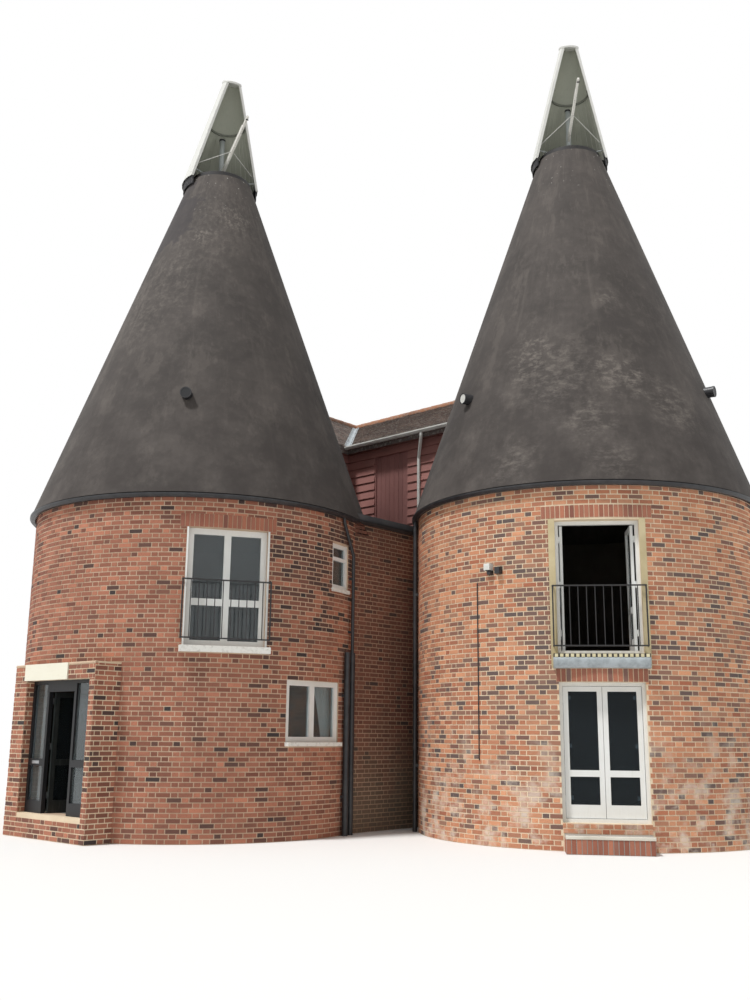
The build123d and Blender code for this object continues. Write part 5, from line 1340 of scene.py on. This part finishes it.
@dataclass
class BarnTiling:
    """Plain clay tiles in lapped rows on the four slopes."""

    width: float = 0.165
    gauge: float = 0.1
    gap: float = 0.002
    narrowest: float = 0.03
    lift: float = 0.016
    ease: float = 0.0015
    lap: float = 1.05
    valley: float = 0.11
    cone_gap: float = 0.03
    longest_mitre: float = 3.2

    def layout(self, wing: Wing, side: int) -> Spans:
        """Rectangles of the tiles of one slope, less what the kilns hide.

        A tile's place is its length along the ridge from the gable and its level distance from the
        ridge. The rows end at the mitre, whose place moves by the ratio of the two half spans for
        each unit of distance.
        """
        length = abs(wing.end - wing.start)
        step = self.gauge * cos(atan2(ROOF_RISE, wing.half))
        lows = np.arange(wing.half + wing.overhang, 0.05, -step)
        highs = np.maximum(lows - step * self.lap, 0.02)
        count = int((length + self.longest_mitre) / self.width) + 2
        stagger = 0.5 * (np.arange(len(lows))[:, None] % 2)
        offsets = ((np.arange(count)[None, :] + stagger) * self.width).ravel()
        lows, highs = np.repeat(lows, count), np.repeat(highs, count)
        stop = length + side * (wing.other_half / wing.half) * lows - (self.valley / 2 if side < 0 else 0.0)
        left, right = offsets + self.gap, np.minimum(offsets + self.width - self.gap, stop)
        spans = Spans(left, right, lows, highs).pick(right - left > self.narrowest)
        for kiln in KILNS:
            along, across = YARD.local(kiln.x, kiln.y)
            if not wing.first:
                along, across = across, along
            away = (side if wing.first else -side) * (across - wing.ridge)
            middle = (wing.end - along) * np.sign(wing.end - wing.start)
            radius = kiln.cone_radius(RIDGE_TOP - ROOF_RISE / wing.half * spans.low) + self.cone_gap
            chord = np.sqrt(np.maximum(radius**2 - (away - spans.low) ** 2, 0.0))
            spans = spans.cut(middle - chord, np.where(chord > 0, middle + chord, middle - chord))
        return spans

    def slope(self, wing: Wing, side: int, seed: int) -> Patch:
        """Tiles of one slope.

        The height falls from the ridge by rise over half span times the level distance. A tile's
        tail is lifted along the slope's outward direction.

        Args:
            wing: the arm of the roof.
            side: 1 towards the outside of the L, -1 towards the yard.
            seed: number that fixes the tones.

        Returns:
            The patch of tiles.
        """
        spans = self.layout(wing, side)
        fall, pitch = ROOF_RISE / wing.half, atan2(ROOF_RISE, wing.half)
        direction = np.sign(wing.end - wing.start)
        rng = np.random.default_rng(seed)
        total = len(spans.left)
        drop = rng.uniform(-1, 1, total) * 0.002
        corners = []
        for tail, head, ease, wander in ((-0.004, -0.004, 0.0, 0.0), (self.lift, 0.005, self.ease, drop)):
            left, right, low, high = spans.left + ease, spans.right - ease, spans.low, spans.high
            for length, distance, lift in (
                (left, low, tail), (right, low, tail), (right, high, head), (left, high, head)
            ):
                raised = lift + wander
                level = distance + sin(pitch) * raised
                height = RIDGE_TOP - fall * distance + cos(pitch) * raised
                corners.append(wing.point(wing.end - direction * length, side * level, height))
        points = np.stack(corners, axis=1).reshape(-1, 3)
        faces = block_faces(total)
        if np.cross(points[5] - points[4], points[7] - points[4])[2] < 0:
            faces = faces[:, ::-1]
        return Patch(points, faces, np.repeat(rng.beta(2.0, 2.0, total), 8), np.zeros(total * 8))

    @staticmethod
    def capping(start: np.ndarray, end: np.ndarray, radius: float = 0.112, tile: float = 0.33) -> Patch:
        """Half-round tiles in a row, each a little wider at its tail where it laps the next."""
        count = max(1, round(float(np.linalg.norm(end - start)) / tile))
        share = np.linspace(0.0, 1.0, count + 1)
        share = np.sort(np.concatenate([share[:-1], share[1:] - 0.004 / count]))
        radii = radius + np.tile([0.007, 0.0], count)
        return tube(start + share[:, None] * (end - start), radii, 18)

    @staticmethod
    def hip(lift: float) -> np.ndarray:
        """The two ends of the hip, lifted above the roof."""
        distance = np.array([0.0, HALF_ONE + WING_ONE.overhang - 0.08])
        u = RIDGE_CROSSING[0] - distance * HALF_TWO / HALF_ONE
        x, y = YARD.world(u, RIDGE_CROSSING[1] + distance)
        return np.stack([x, y, RIDGE_TOP - distance * ROOF_RISE / HALF_ONE + lift], axis=-1)

    def valley_lining(self) -> Patch:
        """A lead gutter in the inner mitre: three points across, the outer two on the two slopes.

        From a point of the mitre, a step along one ridge stays on that wing's slope, at one height.
        """
        distance = np.linspace(0.05, HALF_ONE + WING_ONE.overhang - 0.02, 12)
        u = RIDGE_CROSSING[0] + distance * HALF_TWO / HALF_ONE
        v = RIDGE_CROSSING[1] - distance
        height = RIDGE_TOP - distance * ROOF_RISE / HALF_ONE + 0.006
        rows = [YARD.world(u + self.valley, v), YARD.world(u, v), YARD.world(u, v - self.valley)]
        lifts = (0.012, 0.0, 0.012)
        points = np.stack([np.stack([x, y, height + lift], axis=-1) for (x, y), lift in zip(rows, lifts)])
        if np.cross(points[0, 1] - points[0, 0], points[1, 0] - points[0, 0])[2] < 0:
            points = points[::-1]
        return grid_patch(points)

    def build(self) -> None:
        """Tiles the four slopes, then caps the ridges and the hip and lines the valley."""
        patches = [
            self.slope(wing, side, 70 + 3 * number + side)
            for number, wing in ((1, WING_ONE), (2, WING_TWO)) for side in (-1, 1)
        ]
        fix(Patch.join(patches), "barn_tiles", CLAY_TILES)
        level = RIDGE_TOP + 0.064 - 0.11
        lines = [
            wing.point(np.array([wing.start + back, wing.end]), 0.0, level)
            for wing, back in ((WING_ONE, -0.1), (WING_TWO, 0.1))
        ]
        caps = Patch.join([self.capping(*line) for line in (*lines, self.hip(level - RIDGE_TOP))])
        fix(caps, "barn_ridge_capping", RIDGE_CLAY)
        fix(self.valley_lining(), "barn_valley_lead", LEAD, wall=0.004)


# ---------------------------------------------------------------- cowls


@dataclass
class CowlPlanking:
    """White planks outside, grey-green planks inside and white edge boards on one hood."""

    kiln: Kiln
    base_radius: float = 0.735
    top_radius: float = 0.165
    shell: float = 0.028
    open_base: float = 0.29
    open_top: float = 0.125
    cap_tilt: float = radians(22.0)
    cap_drop: float = 0.009
    cap_thickness: float = 0.03
    cap_overhang: float = 0.03
    hoop_share: float = 0.57
    foot_share: float = -0.045
    planks: int = 30
    samples: int = 6
    rows: int = 20
    edge_width: float = 0.045
    edge_thickness: float = 0.024
    groove: float = 0.005
    sleeve_share: float = 0.4675
    brace_height: float = 0.075
    vane_rise: float = radians(22.0)

    @property
    def body(self) -> str:
        """The turning body that the hood belongs to."""
        return f"{self.kiln.name}_cowl"

    def plane(self, share: np.ndarray) -> np.ndarray:
        """How far the open side's plane lies in front of the axis at a share of the height."""
        return self.open_base + share * (self.open_top + self.kiln.hood_lean - self.open_base)

    def radius(self, share: np.ndarray) -> np.ndarray:
        """Radius of the outside of the hood at a share of the height."""
        return self.base_radius + share * (self.top_radius - self.base_radius)

    def limit(self, share: np.ndarray, inset: float) -> np.ndarray:
        """Angle from straight ahead at which the open side's plane cuts the hood."""
        reach = (self.plane(share) - share * self.kiln.hood_lean) / (self.radius(share) - inset)
        return np.arccos(np.clip(reach, -1, 1))

    def highest(self, angle: np.ndarray, inset: float) -> np.ndarray:
        """Share of the height at which the tilted cap meets each angle, found by repeated correction."""
        kiln = self.kiln
        rear = kiln.hood_lean - self.top_radius
        share = np.full(angle.shape, 1.0)
        for _ in range(12):
            held = np.clip(angle, self.limit(share, inset), 2 * pi - self.limit(share, inset))
            ahead = share * kiln.hood_lean + (self.radius(share) - inset) * np.cos(held)
            drop = self.cap_drop + (ahead - rear) * np.tan(self.cap_tilt)
            share = 0.5 * share + 0.5 * (1.0 - drop / kiln.hood_height)
        return share

    def to_frame(self, ahead: np.ndarray, aside: np.ndarray, height: np.ndarray) -> np.ndarray:
        """Turns lengths ahead of the axis, aside of it and above the hood's foot into points."""
        return self.kiln.points(self.kiln.cowl_angle, ahead, aside, self.kiln.hood_base + height)

    def skin(self, inset: float, inward: bool, foot: float) -> Patch:
        """A cone of planks whose centre leans forward with height.

        At a share h of the height, the centre is h times the lean in front of the axis, and the
        radius runs straight from base to top. The angle is held to the part behind the open
        side's plane, and the highest share to the cap. A groove between planks is a narrow dip.

        Args:
            inset: how far the surface lies inside the nominal radius.
            inward: true for the surface that faces the axis.
            foot: share of the height at which the planks begin.

        Returns:
            The open sheet.
        """
        kiln = self.kiln
        angle = np.linspace(0, 2 * pi, self.planks * self.samples + 1)[None, :]
        rise = np.linspace(0.0, 1.0, self.rows)[:, None]
        share = foot + rise * (self.highest(angle, inset) - foot)
        radius = self.radius(share) - inset
        limit = self.limit(share, inset) + 0.004 / radius
        angle = np.clip(angle, limit, 2 * pi - limit)
        phase = np.abs((angle * self.planks / (2 * pi)) % 1.0 - 0.5)
        smooth = inward & (share > self.hoop_share)
        dip = self.groove * np.clip((phase - 0.44) / 0.06, 0, 1) * np.where(smooth, 0.15, 1.0)
        reach = radius + (dip if inward else -dip)
        points = self.to_frame(
            share * kiln.hood_lean + reach * np.cos(angle), reach * np.sin(angle), share * kiln.hood_height
        )
        tone = (np.sin(np.floor(angle * self.planks / (2 * pi)) * 12.9898) * 43758.5453) % 1.0
        tone = np.where(smooth, 0.5, tone)
        if inward:
            points, tone = points[:, ::-1], tone[:, ::-1]
        return grid_patch(points, tone)

    def edge_board(self, side: float) -> Patch:
        """A narrow board in the open side's plane, with its outer edge at the hood's edge."""
        top = float(self.highest(self.limit(np.ones(1), 0.0), 0.0)[0]) - 0.012
        share = np.linspace(self.foot_share, top, 12)
        share = np.concatenate([share[:1], share, share[-1:]])
        full = np.ones(len(share))
        full[[0, -1]] = 0.0
        edge = self.radius(share) * np.sin(self.limit(share, 0.0)) + 0.003
        middle_x, middle_y = self.edge_thickness / 2, -self.edge_width / 2
        rows = []
        for ahead, across in ((0.0, 0.0), (1.0, 0.0), (1.0, 1.0), (0.0, 1.0), (0.0, 0.0)):
            x = middle_x + (ahead * self.edge_thickness - middle_x) * full + self.plane(share)
            y = middle_y + (-across * self.edge_width - middle_y) * full + edge
            rows.append(self.to_frame(x, side * y, share * self.kiln.hood_height))
        return grid_patch(np.stack(rows)).outward()

    def cap_board(self) -> Patch:
        """The flat board on top: rings of an oval in the tilted cap's plane, closed in the middle."""
        c, s = cos(self.cap_tilt), sin(self.cap_tilt)
        rear = self.kiln.hood_lean - self.top_radius
        rise = self.kiln.hood_height + self.cap_thickness * (1 - c) - self.cap_overhang * s
        below = [(0.0, -0.003), (0.985, -0.003), (1.0, 0.002)]
        rings = np.array(below + [(1.0, 0.029), (0.985, 0.034), (0.0, 0.034)])
        angle = np.linspace(0, 2 * pi, 49)[None, :]
        ahead = 0.208 * rings[:, :1] * np.cos(angle)
        aside = 0.198 * rings[:, :1] * np.sin(angle)
        above = rings[:, 1:] + 0 * angle
        forward = rear + self.top_radius * c + ahead * c + above * s
        height = rise - self.top_radius * s - ahead * s + above * c
        return grid_patch(self.to_frame(forward, aside, height)).outward()

    def rod(self, ahead: Pair, aside: Pair, height: Pair, radius: float, sides: int) -> Patch:
        """A straight round bar between two points."""
        start, end = self.to_frame(*(np.array(pair) for pair in (ahead, aside, height)))
        return tube(np.linspace(start, end, 3), radius, sides)

    def foot_brace(self, side: float) -> Patch:
        """A thin bar from the hood's edge to the spindle, just above the foot."""
        share = np.array([self.brace_height / self.kiln.hood_height])
        edge = float((self.radius(share) * np.sin(self.limit(share, 0.0)))[0]) - 0.02
        front = float(self.plane(share)[0]) - 0.03
        return self.rod((front, 0.02), (side * edge, side * 0.02), (self.brace_height, 0.05), 0.012, 8)

    def sleeve(self) -> Patch:
        """The painted tube round the spindle, under its small cap."""
        return self.rod((0.0, 0.0), (0.0, 0.0), (0.0, self.sleeve_share * self.kiln.hood_height), 0.052, 24)

    def vane_bolt(self) -> Patch:
        """The small round bolt head under the tip of the fly board."""
        rise, along = self.vane_rise, self.kiln.vane_length - 0.05
        ahead = 0.039 + along * cos(rise)
        height = self.kiln.vane_root + along * sin(rise) - 0.012
        return self.rod((ahead, ahead), (-0.026, 0.026), (height, height), 0.011, 10)

    def build(self) -> None:
        """Makes the two skins, the small boards, the braces, the sleeve and the bolt on the turning body."""
        flats = self.base_radius * (1 - cos(pi / 32))
        outside = self.skin(-0.002, False, self.foot_share)
        inside = self.skin(self.shell + flats + 0.003, True, 0.004)
        edges, braces = (
            Patch.join([make(side) for side in (-1.0, 1.0)]) for make in (self.edge_board, self.foot_brace)
        )
        boards = (
            ("planks", outside, COWL_WHITE, 0.004), ("lining", inside, COWL_GREEN, 0.004),
            ("edge_boards", edges, COWL_WHITE, 0.0), ("cap_board", self.cap_board(), COWL_WHITE, 0.0),
        )
        for name, patch, finish, wall in boards:
            fix(patch, f"{self.body}_{name}", finish, self.body, wall=wall)
        for name, patch, finish, slot in (
            ("foot_braces", braces, COWL_GREY, "cowl_boards"),
            ("spindle_sleeve", self.sleeve(), COWL_GREY, "grey_steel"),
            ("vane_bolt", self.vane_bolt(), IRON, "black_iron"),
        ):
            fix(patch, f"{self.body}_{name}", finish, self.body, smooth=True)


# ---------------------------------------------------------------- studio


WHITE = (1.0, 1.0, 1.0, 1.0)


@dataclass
class Studio:
    """Pale floor, soft light and the camera of the photograph."""

    eye: Triple = (0.9361, -22.699, 1.65)
    look: Pair = (-0.06948, 0.99758)
    pitch: float = 0.2219
    roll: float = 0.0104
    lens: float = 37.26
    floor_half: float = 120.0
    world: float = 0.47
    sun: float = 2.75
    sun_travel: Triple = (0.77, 0.62, -1.75)

    def camera(self) -> None:
        """Turns the level look by the pitch, then rolls the picture."""
        ahead = Vector((*self.look, 0)) * cos(self.pitch) + Vector((0, 0, sin(self.pitch)))
        right = Vector((self.look[1], -self.look[0], 0))
        up = Vector((-self.look[0] * sin(self.pitch), -self.look[1] * sin(self.pitch), cos(self.pitch)))
        c, s = cos(self.roll), sin(self.roll)
        right, up = right * c + up * s, up * c - right * s
        made = bpy.data.objects.new("camera", bpy.data.cameras.new("camera"))
        made.data.lens = self.lens
        made.data.sensor_width = 36.0
        made.data.clip_end = 400.0
        made.matrix_world = Matrix(
            ((right.x, up.x, -ahead.x, self.eye[0]), (right.y, up.y, -ahead.y, self.eye[1]),
             (right.z, up.z, -ahead.z, self.eye[2]), (0, 0, 0, 1))
        )
        bpy.context.scene.collection.objects.link(made)
        bpy.context.scene.camera = made

    def floor(self) -> None:
        """A wide pale floor that keeps shadows near the building and fades to white far away."""
        corners = [[(x, y, -0.002) for x in (-self.floor_half, self.floor_half)]
                   for y in (-self.floor_half, self.floor_half)]
        made = grid_patch(np.array(corners)).mesh("floor")
        g = Graph("floor_finish")
        g.finish((236, 236, 234), 0.9)
        away = g.node("ShaderNodeVectorMath", (0, g.place(scale=(0.04, 0.04, 0.04))), operation="LENGTH")
        share = g.times(g.seen(), g.band(away.outputs["Value"], 0.5, 1.4))
        g.blend(share, g.shader, g.node("ShaderNodeEmission", ("Color", WHITE)))
        made.data.materials.append(g.owner)

    def light(self) -> None:
        """An even pale sky, white where it is seen, and one broad sun from the front left."""
        g = Graph("studio", world=True)
        sky, white = (
            g.node("ShaderNodeBackground", ("Color", WHITE), ("Strength", strength))
            for strength in (self.world, 1.0)
        )
        g.blend(g.seen(), sky, white)
        bpy.context.scene.world = g.owner
        sun = bpy.data.lights.new("sun", "SUN")
        sun.energy = self.sun
        sun.angle = radians(8)
        lamp = bpy.data.objects.new("sun", sun)
        lamp.rotation_mode = "QUATERNION"
        lamp.rotation_quaternion = Vector(self.sun_travel).to_track_quat("-Z", "Y")
        bpy.context.scene.collection.objects.link(lamp)

    def build(self) -> None:
        """Sets up the picture."""
        bpy.context.scene.view_settings.view_transform = "Standard"
        self.camera()
        self.floor()
        self.light()


# ---------------------------------------------------------------- openings and fittings


@dataclass
class Bay:
    """Something that stands on a kiln's wall at an angle; turns are measured from its own direction."""

    kiln: Kiln
    angle: float

    def flat(self, turn: float, reach: float) -> FlatWall:
        """A flat wall at a reach from the kiln's axis, turned by an angle in degrees."""
        heading = radians(self.angle + turn)
        normal = (cos(heading), sin(heading))
        return FlatWall((self.kiln.x + reach * normal[0], self.kiln.y + reach * normal[1]), normal, False)


@dataclass
class Porch(Bay):
    """Brick facing on the entrance block of the left kiln, and the small fittings of its screen.

    Its own lengths run along the anticlockwise tangent from the kiln's radius through its middle.
    """

    kiln: Kiln = LEFT
    angle: float = -128.0
    face: float = 3.1
    left: float = -0.87
    right: float = 1.44
    opening: Pair = (-0.5, 1.31)
    head: float = 2.43
    top: float = 2.69
    coping: float = 0.03
    setback: float = 0.13
    sign: Pair = (-0.55, 0.71)
    plinth: float = 0.37

    def facing(self) -> list[Facing]:
        """Front, outer returns from the round wall, and the returns towards the screen."""
        front = self.flat(0.0, self.face)
        low, high = self.opening
        back, top = self.face - self.setback, self.top - self.coping
        return [
            (front, self.left, low, 0.0, self.head),
            (front, high, self.right, 0.0, self.head),
            (front, low, high, 0.0, self.plinth - COURSE),
            (front, self.left, self.sign[0], self.head, top),
            (front, self.sign[1], self.right, self.head, top),
            (self.flat(-90.0, -self.left), self.kiln.depth(self.left), self.face, 0.0, top),
            (self.flat(90.0, self.right), -self.face, -self.kiln.depth(self.right), 0.0, top),
            (self.flat(90.0, low), -self.face, -back, 0.0, self.head),
            (self.flat(-90.0, -high), back, self.face, 0.0, self.head),
        ]

    def weathering(self) -> Patch:
        """A rounded mortar fillet along the top edge of the block."""
        outline = ((0.008, -0.03), (0.006, -0.012), (-0.01, 0.003), (-0.04, 0.005), (-0.04, -0.03))
        stations = np.linspace(self.left - 0.006, self.right + 0.006, 24)
        return bar(self.flat(0.0, self.face), stations, [(out, self.top + rise) for out, rise in outline])

    def letter_plate(self) -> Patch:
        """A bright plate on the middle rail of the screen's left light."""
        screen = self.flat(0.0, self.face - self.setback)
        plate = Spans.of((-0.37, -0.17, 1.125, 1.175))
        return blocks(plate, screen, Relief(0.008, 0.008, -0.002, 0.004, 0.0), 3)

    def build(self) -> None:
        """Lays the facing and sets the fittings."""
        FlatBrickwork("porch_bricks", LEFT_BRICK, "brick_left", self.facing(), 27, 0.15).build()
        fix(self.weathering(), "porch_weathering", KILN_MORTAR["left"])
        fix(self.letter_plate(), "entrance_letter_plate", STEEL)


@dataclass
class RightBay(Bay):
    """Standing bricks, brick sill, lead and mortar round the two doorways of the right kiln, and its step."""

    kiln: Kiln = RIGHT
    angle: float = -93.2
    half: float = 0.645
    sill_half: float = 0.715
    sill: float = 2.86
    door_head: float = 2.44
    door_sill: float = 0.40
    step_half: float = 0.625
    step_reach: float = 0.33
    step_height: float = 0.25
    jamb_rows: int = 9

    def limits(self, half: float) -> Pair:
        """Lengths along the round wall of a width about the bay's middle."""
        return self.kiln.span(self.angle, half)

    def lead(self) -> Patch:
        """A rounded sheet that hangs under the brick sill, thick at the top and tucked in at its foot."""
        reach = self.sill_half + 0.004
        profile = [
            (-0.09, 2.802), (0.060, 2.802), (0.069, 2.79), (0.070, 2.76), (0.066, 2.73), (0.056, 2.695),
            (0.040, 2.664), (0.022, 2.645), (-0.09, 2.640),
        ]
        return bar(self.flat(0.0, self.kiln.radius), np.linspace(-reach, reach, 28), profile)

    def soldiers(self) -> Patch:
        """Bricks on end over the lower doorway and round the step."""
        inner, outer = self.kiln.depth(self.step_half), self.kiln.radius + self.step_reach
        low, high = 0.004, self.step_height - 0.045
        over = row_of(*self.limits(self.half + 0.04), self.door_head + 0.004, 2.637)
        patches = [
            blocks(over, RoundWall(self.kiln), Relief(0.006, 0.006), 81, 0.15),
            blocks(row_of(-self.step_half, self.step_half, low, high), self.flat(0.0, outer),
                   Relief(0.004, 0.004), 82, 0.05),
        ]
        for turn, left, right in ((-90.0, inner, outer), (90.0, -outer, -inner)):
            side = row_of(left, right, low, high)
            patches.append(blocks(side, self.flat(turn, self.step_half), Relief(0.004, 0.004), 83))
        return Patch.join(patches)

    def nosing(self) -> Patch:
        """The pale front edge of the step's top."""
        reach = self.step_half + 0.006
        front = self.flat(0.0, self.kiln.radius + self.step_reach)
        profile = [
            (-0.02, 0.207), (0.010, 0.207), (0.014, 0.214), (0.014, 0.246), (0.006, 0.255), (-0.02, 0.255)
        ]
        return bar(front, np.linspace(-reach, reach, 12), profile)

    def jambs(self) -> Patch:
        """A strip of render on each side of the upper doorway, in short lengths that follow the wall."""
        outer, inner = self.limits(self.half + 0.1), self.limits(self.half)
        cuts = np.linspace(2.66, 4.955, self.jamb_rows + 1)
        strips = Spans.of(*(
            (left, right, low, high)
            for left, right in ((outer[0], inner[0]), (inner[1], outer[1]))
            for low, high in zip(cuts[:-1], cuts[1:])
        ))
        return blocks(strips, RoundWall(self.kiln), Relief(0.006, 0.006, -0.002, 0.0, 0.0), 86)

    def build(self) -> None:
        """Lays each row and strip."""
        wall = RoundWall(self.kiln)
        fix(self.soldiers(), "bay_soldier_bricks", SOLDIER_BRICK)
        threshold = flemish_bond(*self.limits(self.half), self.step_height, self.door_sill - 0.004)
        threshold = blocks(threshold, wall, Relief(0.006, 0.006), 84, 0.1)
        fix(threshold, "bay_threshold_bricks", RIGHT_BRICK)
        fix(self.nosing(), "door_step_nosing", NOSING)
        ends = row_of(-self.sill_half, self.sill_half, 2.797, self.sill + 0.003, 0.078, 0.013)
        proud = Relief(0.068, 0.068, -0.085, 0.009, 0.002)
        ends = blocks(ends, self.flat(0.0, self.kiln.radius), proud, 85)
        fix(ends, "bay_sill_bricks", CREAM_BRICK)
        fix(self.lead(), "bay_sill_lead", LEAD, smooth=True)
        fix(self.jambs(), "bay_jamb_render", JAMB_RENDER)


@dataclass
class WindowTrim:
    """White lining boards beside the left kiln's upper doors, and the net curtain in its lower window."""

    kiln: Kiln = LEFT
    doors: Opening = Opening(-68.6, 0.64, 2.96, 4.84)
    board: float = 0.032
    curtain_angle: float = -36.4
    curtain: Quad = (0.15, 0.72, 1.56, 2.42)
    behind: float = 0.2
    drawn: float = 0.45
    window_half: float = 0.6

    def lining(self) -> Spans:
        """One upright board on each side of the doorway."""
        left, right = self.doors.limits(self.kiln)
        low, high = self.doors.sill, self.doors.head
        return Spans.of((left - self.board, left, low, high), (right, right + self.board, low, high))

    def hanging(self) -> Patch:
        """A gathered cloth: its free edge draws in with depth, and its folds are a sine of its width.

        Rows go down from the head; the depth t runs from 0 to 1. The free edge lies at the left
        limit plus the drawn share of the width times t to the power 0.7.
        """
        left, right, low, high = self.curtain
        depth = np.linspace(0.0, 1.0, 24)[:, None]
        across = np.linspace(0.0, 1.0, 60)[None, :]
        edge = left + (right - left) * self.drawn * depth**0.7
        fold = 0.012 * np.sin(across * 46.0 + 0.6 * np.sin(depth * 5.0)) + 0.004 * np.sin(across * 17.0)
        reach = self.kiln.depth(self.window_half) - self.behind + fold
        aside = edge + (right - edge) * across
        points = self.kiln.points(self.curtain_angle, reach, aside, high - (high - low) * depth)
        return grid_patch(points[::-1])

    def build(self) -> None:
        """Sets the boards and hangs the curtain."""
        lining = blocks(self.lining(), RoundWall(self.kiln), Relief(0.012, 0.012, -0.01, 0.003, 0.0), 91)
        fix(lining, "left_door_lining", WHITE_GLOSS)
        fix(self.hanging(), "left_window_curtain", NET, smooth=True, wall=0.002)


@dataclass
class Fittings:
    """Lamp boxes, a cable, and the rims and mouths of the cone vents."""

    vent_length: float = 0.15
    cable_angle: float = -131.6

    def box(self, angle: float, half: float, low: float, high: float, out: float, seed: int) -> Patch:
        """A box on the right kiln's wall."""
        span = Spans.of((RIGHT.arc(angle) - half, RIGHT.arc(angle) + half, low, high))
        return blocks(span, RoundWall(RIGHT), Relief(out, out, -0.002, 0.008, 0.0), seed)

    def vent_part(self, kiln: Kiln, angle: float, height: float, sizes: tuple[Pair, ...]) -> Patch:
        """Circles about a vent's level axis, each from its radius and its place beyond the vent's end."""
        end = kiln.cone_radius(np.array([height]))[0] + self.vent_length
        turn = np.linspace(0, 2 * pi, 25)
        return grid_patch(np.stack([
            kiln.points(angle, end + out, radius * np.cos(turn), height + radius * np.sin(turn))
            for radius, out in sizes
        ]))

    def cable(self) -> Patch:
        """A cable that leaves the wall and hangs close to it."""
        reach = np.concatenate([3.0 + np.array([-0.02, 0.01, 0.012]), np.full(12, 3.012)])
        height = np.concatenate([[4.04, 4.035, 4.0], np.linspace(3.9, 1.26, 12)])
        return tube(RIGHT.points(self.cable_angle, reach, 0.0, height), 0.009, 8)

    def build(self) -> None:
        """Makes the fittings."""
        for name, finish, slot, box in (
            ("white_lamp_box", WHITE_PLASTIC, "white_plastic", (-126.8, 0.062, 4.205, 4.325, 0.101, 95)),
            ("white_lamp_foot", BLACK_PLASTIC, "black_plastic", (-126.4, 0.04, 4.135, 4.2, 0.08, 96)),
            ("black_lamp_head", BLACK_PLASTIC, "black_plastic", (-123.3, 0.05, 4.135, 4.255, 0.1, 97)),
        ):
            fix(self.box(*box), name, finish)
        fix(self.cable(), "wall_cable", BLACK_PLASTIC, smooth=True)
        vents = ((LEFT, -85.6, 7.213), (RIGHT, -147.3, 7.4371), (RIGHT, -30.9, 7.545))
        rim = ((0.098, -0.03), (0.098, 0.006), (0.082, 0.006), (0.082, 0.001))
        mouth = ((0.082, 0.002), (0.0, 0.002))
        rims, mouths = ([self.vent_part(*vent, sizes) for vent in vents] for sizes in (rim, mouth))
        fix(Patch.join(rims), "vent_rims", BLACK_PLASTIC, wall=0.002)
        # The black discs in two vent mouths are painted shade of the hollow pipe ends.
        fix(Patch.join(mouths[::2]), "vent_mouths_painted_shade", BLACK_GLOSS)
        fix(mouths[1], "vent_mouth_pale", WHITE_PLASTIC)


# ---------------------------------------------------------------- the whole


@dataclass
class OastHouse:
    """Every sub-assembly, in the order in which it is made."""

    right_holes: tuple[Opening, ...] = (
        Opening(-93.2, 0.645, 0.0, 2.44),
        Opening(-93.2, 0.685, 2.44, 2.64),
        Opening(-93.2, 0.645, 2.64, 4.96, arch=0.2, jamb=0.1),
    )
    left_holes: tuple[Opening, ...] = (
        Opening(-68.6, 0.64, 2.86, 4.84, arch=0.215, jamb=0.036),
        Opening(-36.4, 0.615, 1.44, 2.48),
        Opening(-24.4, 0.27, 4.01, 4.85),
    )
    right_burnt: tuple[Spot, ...] = (
        (-107.0, 3.1, 0.75, 1.6, 0.85), (-112.0, 4.6, 0.9, 0.4, 0.3), (-150.0, 2.0, 1.4, 1.2, 0.2),
        (-60.0, 3.0, 1.2, 1.5, 0.3),
    )
    # Dark places on the left kiln's right side: partly real dark bricks, partly painted shade, as that side
    # stands in shade.
    left_burnt_and_shade: tuple[Spot, ...] = (
        (-38.0, 4.35, 0.9, 0.8, 0.85), (-20.0, 4.9, 0.8, 0.5, 0.5), (-50.0, 3.2, 1.0, 1.0, 0.25),
    )

    def dress_nodes(self) -> None:
        """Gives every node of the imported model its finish."""
        left = set(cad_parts)
        for finish, names in NODE_FINISHES.items():
            for name in names:
                PALETTE.dress(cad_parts[name], finish)
                left.discard(name)
        if left:
            raise ValueError(f"nodes without a finish: {sorted(left)}")
        LOG.info("dressed %d nodes", len(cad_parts))

    def build(self) -> None:
        """Makes all pieces."""
        self.dress_nodes()
        KilnBrickwork(RIGHT, RIGHT_BRICK, "brick_right", self.right_holes, 11, 0.2, self.right_burnt).build()
        porch = (LEFT.arc(-128) - 0.885, LEFT.arc(-128) + 1.5, 0.0, 2.69)
        KilnBrickwork(
            LEFT, LEFT_BRICK, "brick_left", self.left_holes, 21, 0.12, self.left_burnt_and_shade, (porch,)
        ).build()
        barn = [(wall, left, right, 0.0, BRICK_TOP) for wall, left, right in BARN_FACES.values()]
        FlatBrickwork("barn_bricks", BARN_BRICK, "brick_right", barn).build()
        link = FlatWall.on_yard((LINK_FACE, 0.0), (1.0, 0.0))
        link = [(link, -2.0, 2.0, 0.0, LINK_TOP)]
        FlatBrickwork("link_bricks", LINK_BRICK, "brick_left", link, 17, 0.1).build()
        for part in (BarnBoarding(), BarnTiling(), Porch(), RightBay(), WindowTrim(), Fittings()):
            part.build()
        for kiln in KILNS:
            CowlPlanking(kiln).build()


def main() -> None:
    """Builds the studio and the house."""
    logging.basicConfig(level=logging.INFO, format="%(message)s")
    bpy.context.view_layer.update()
    Studio().build()
    OastHouse().build()


if __name__ == "__main__":
    main()
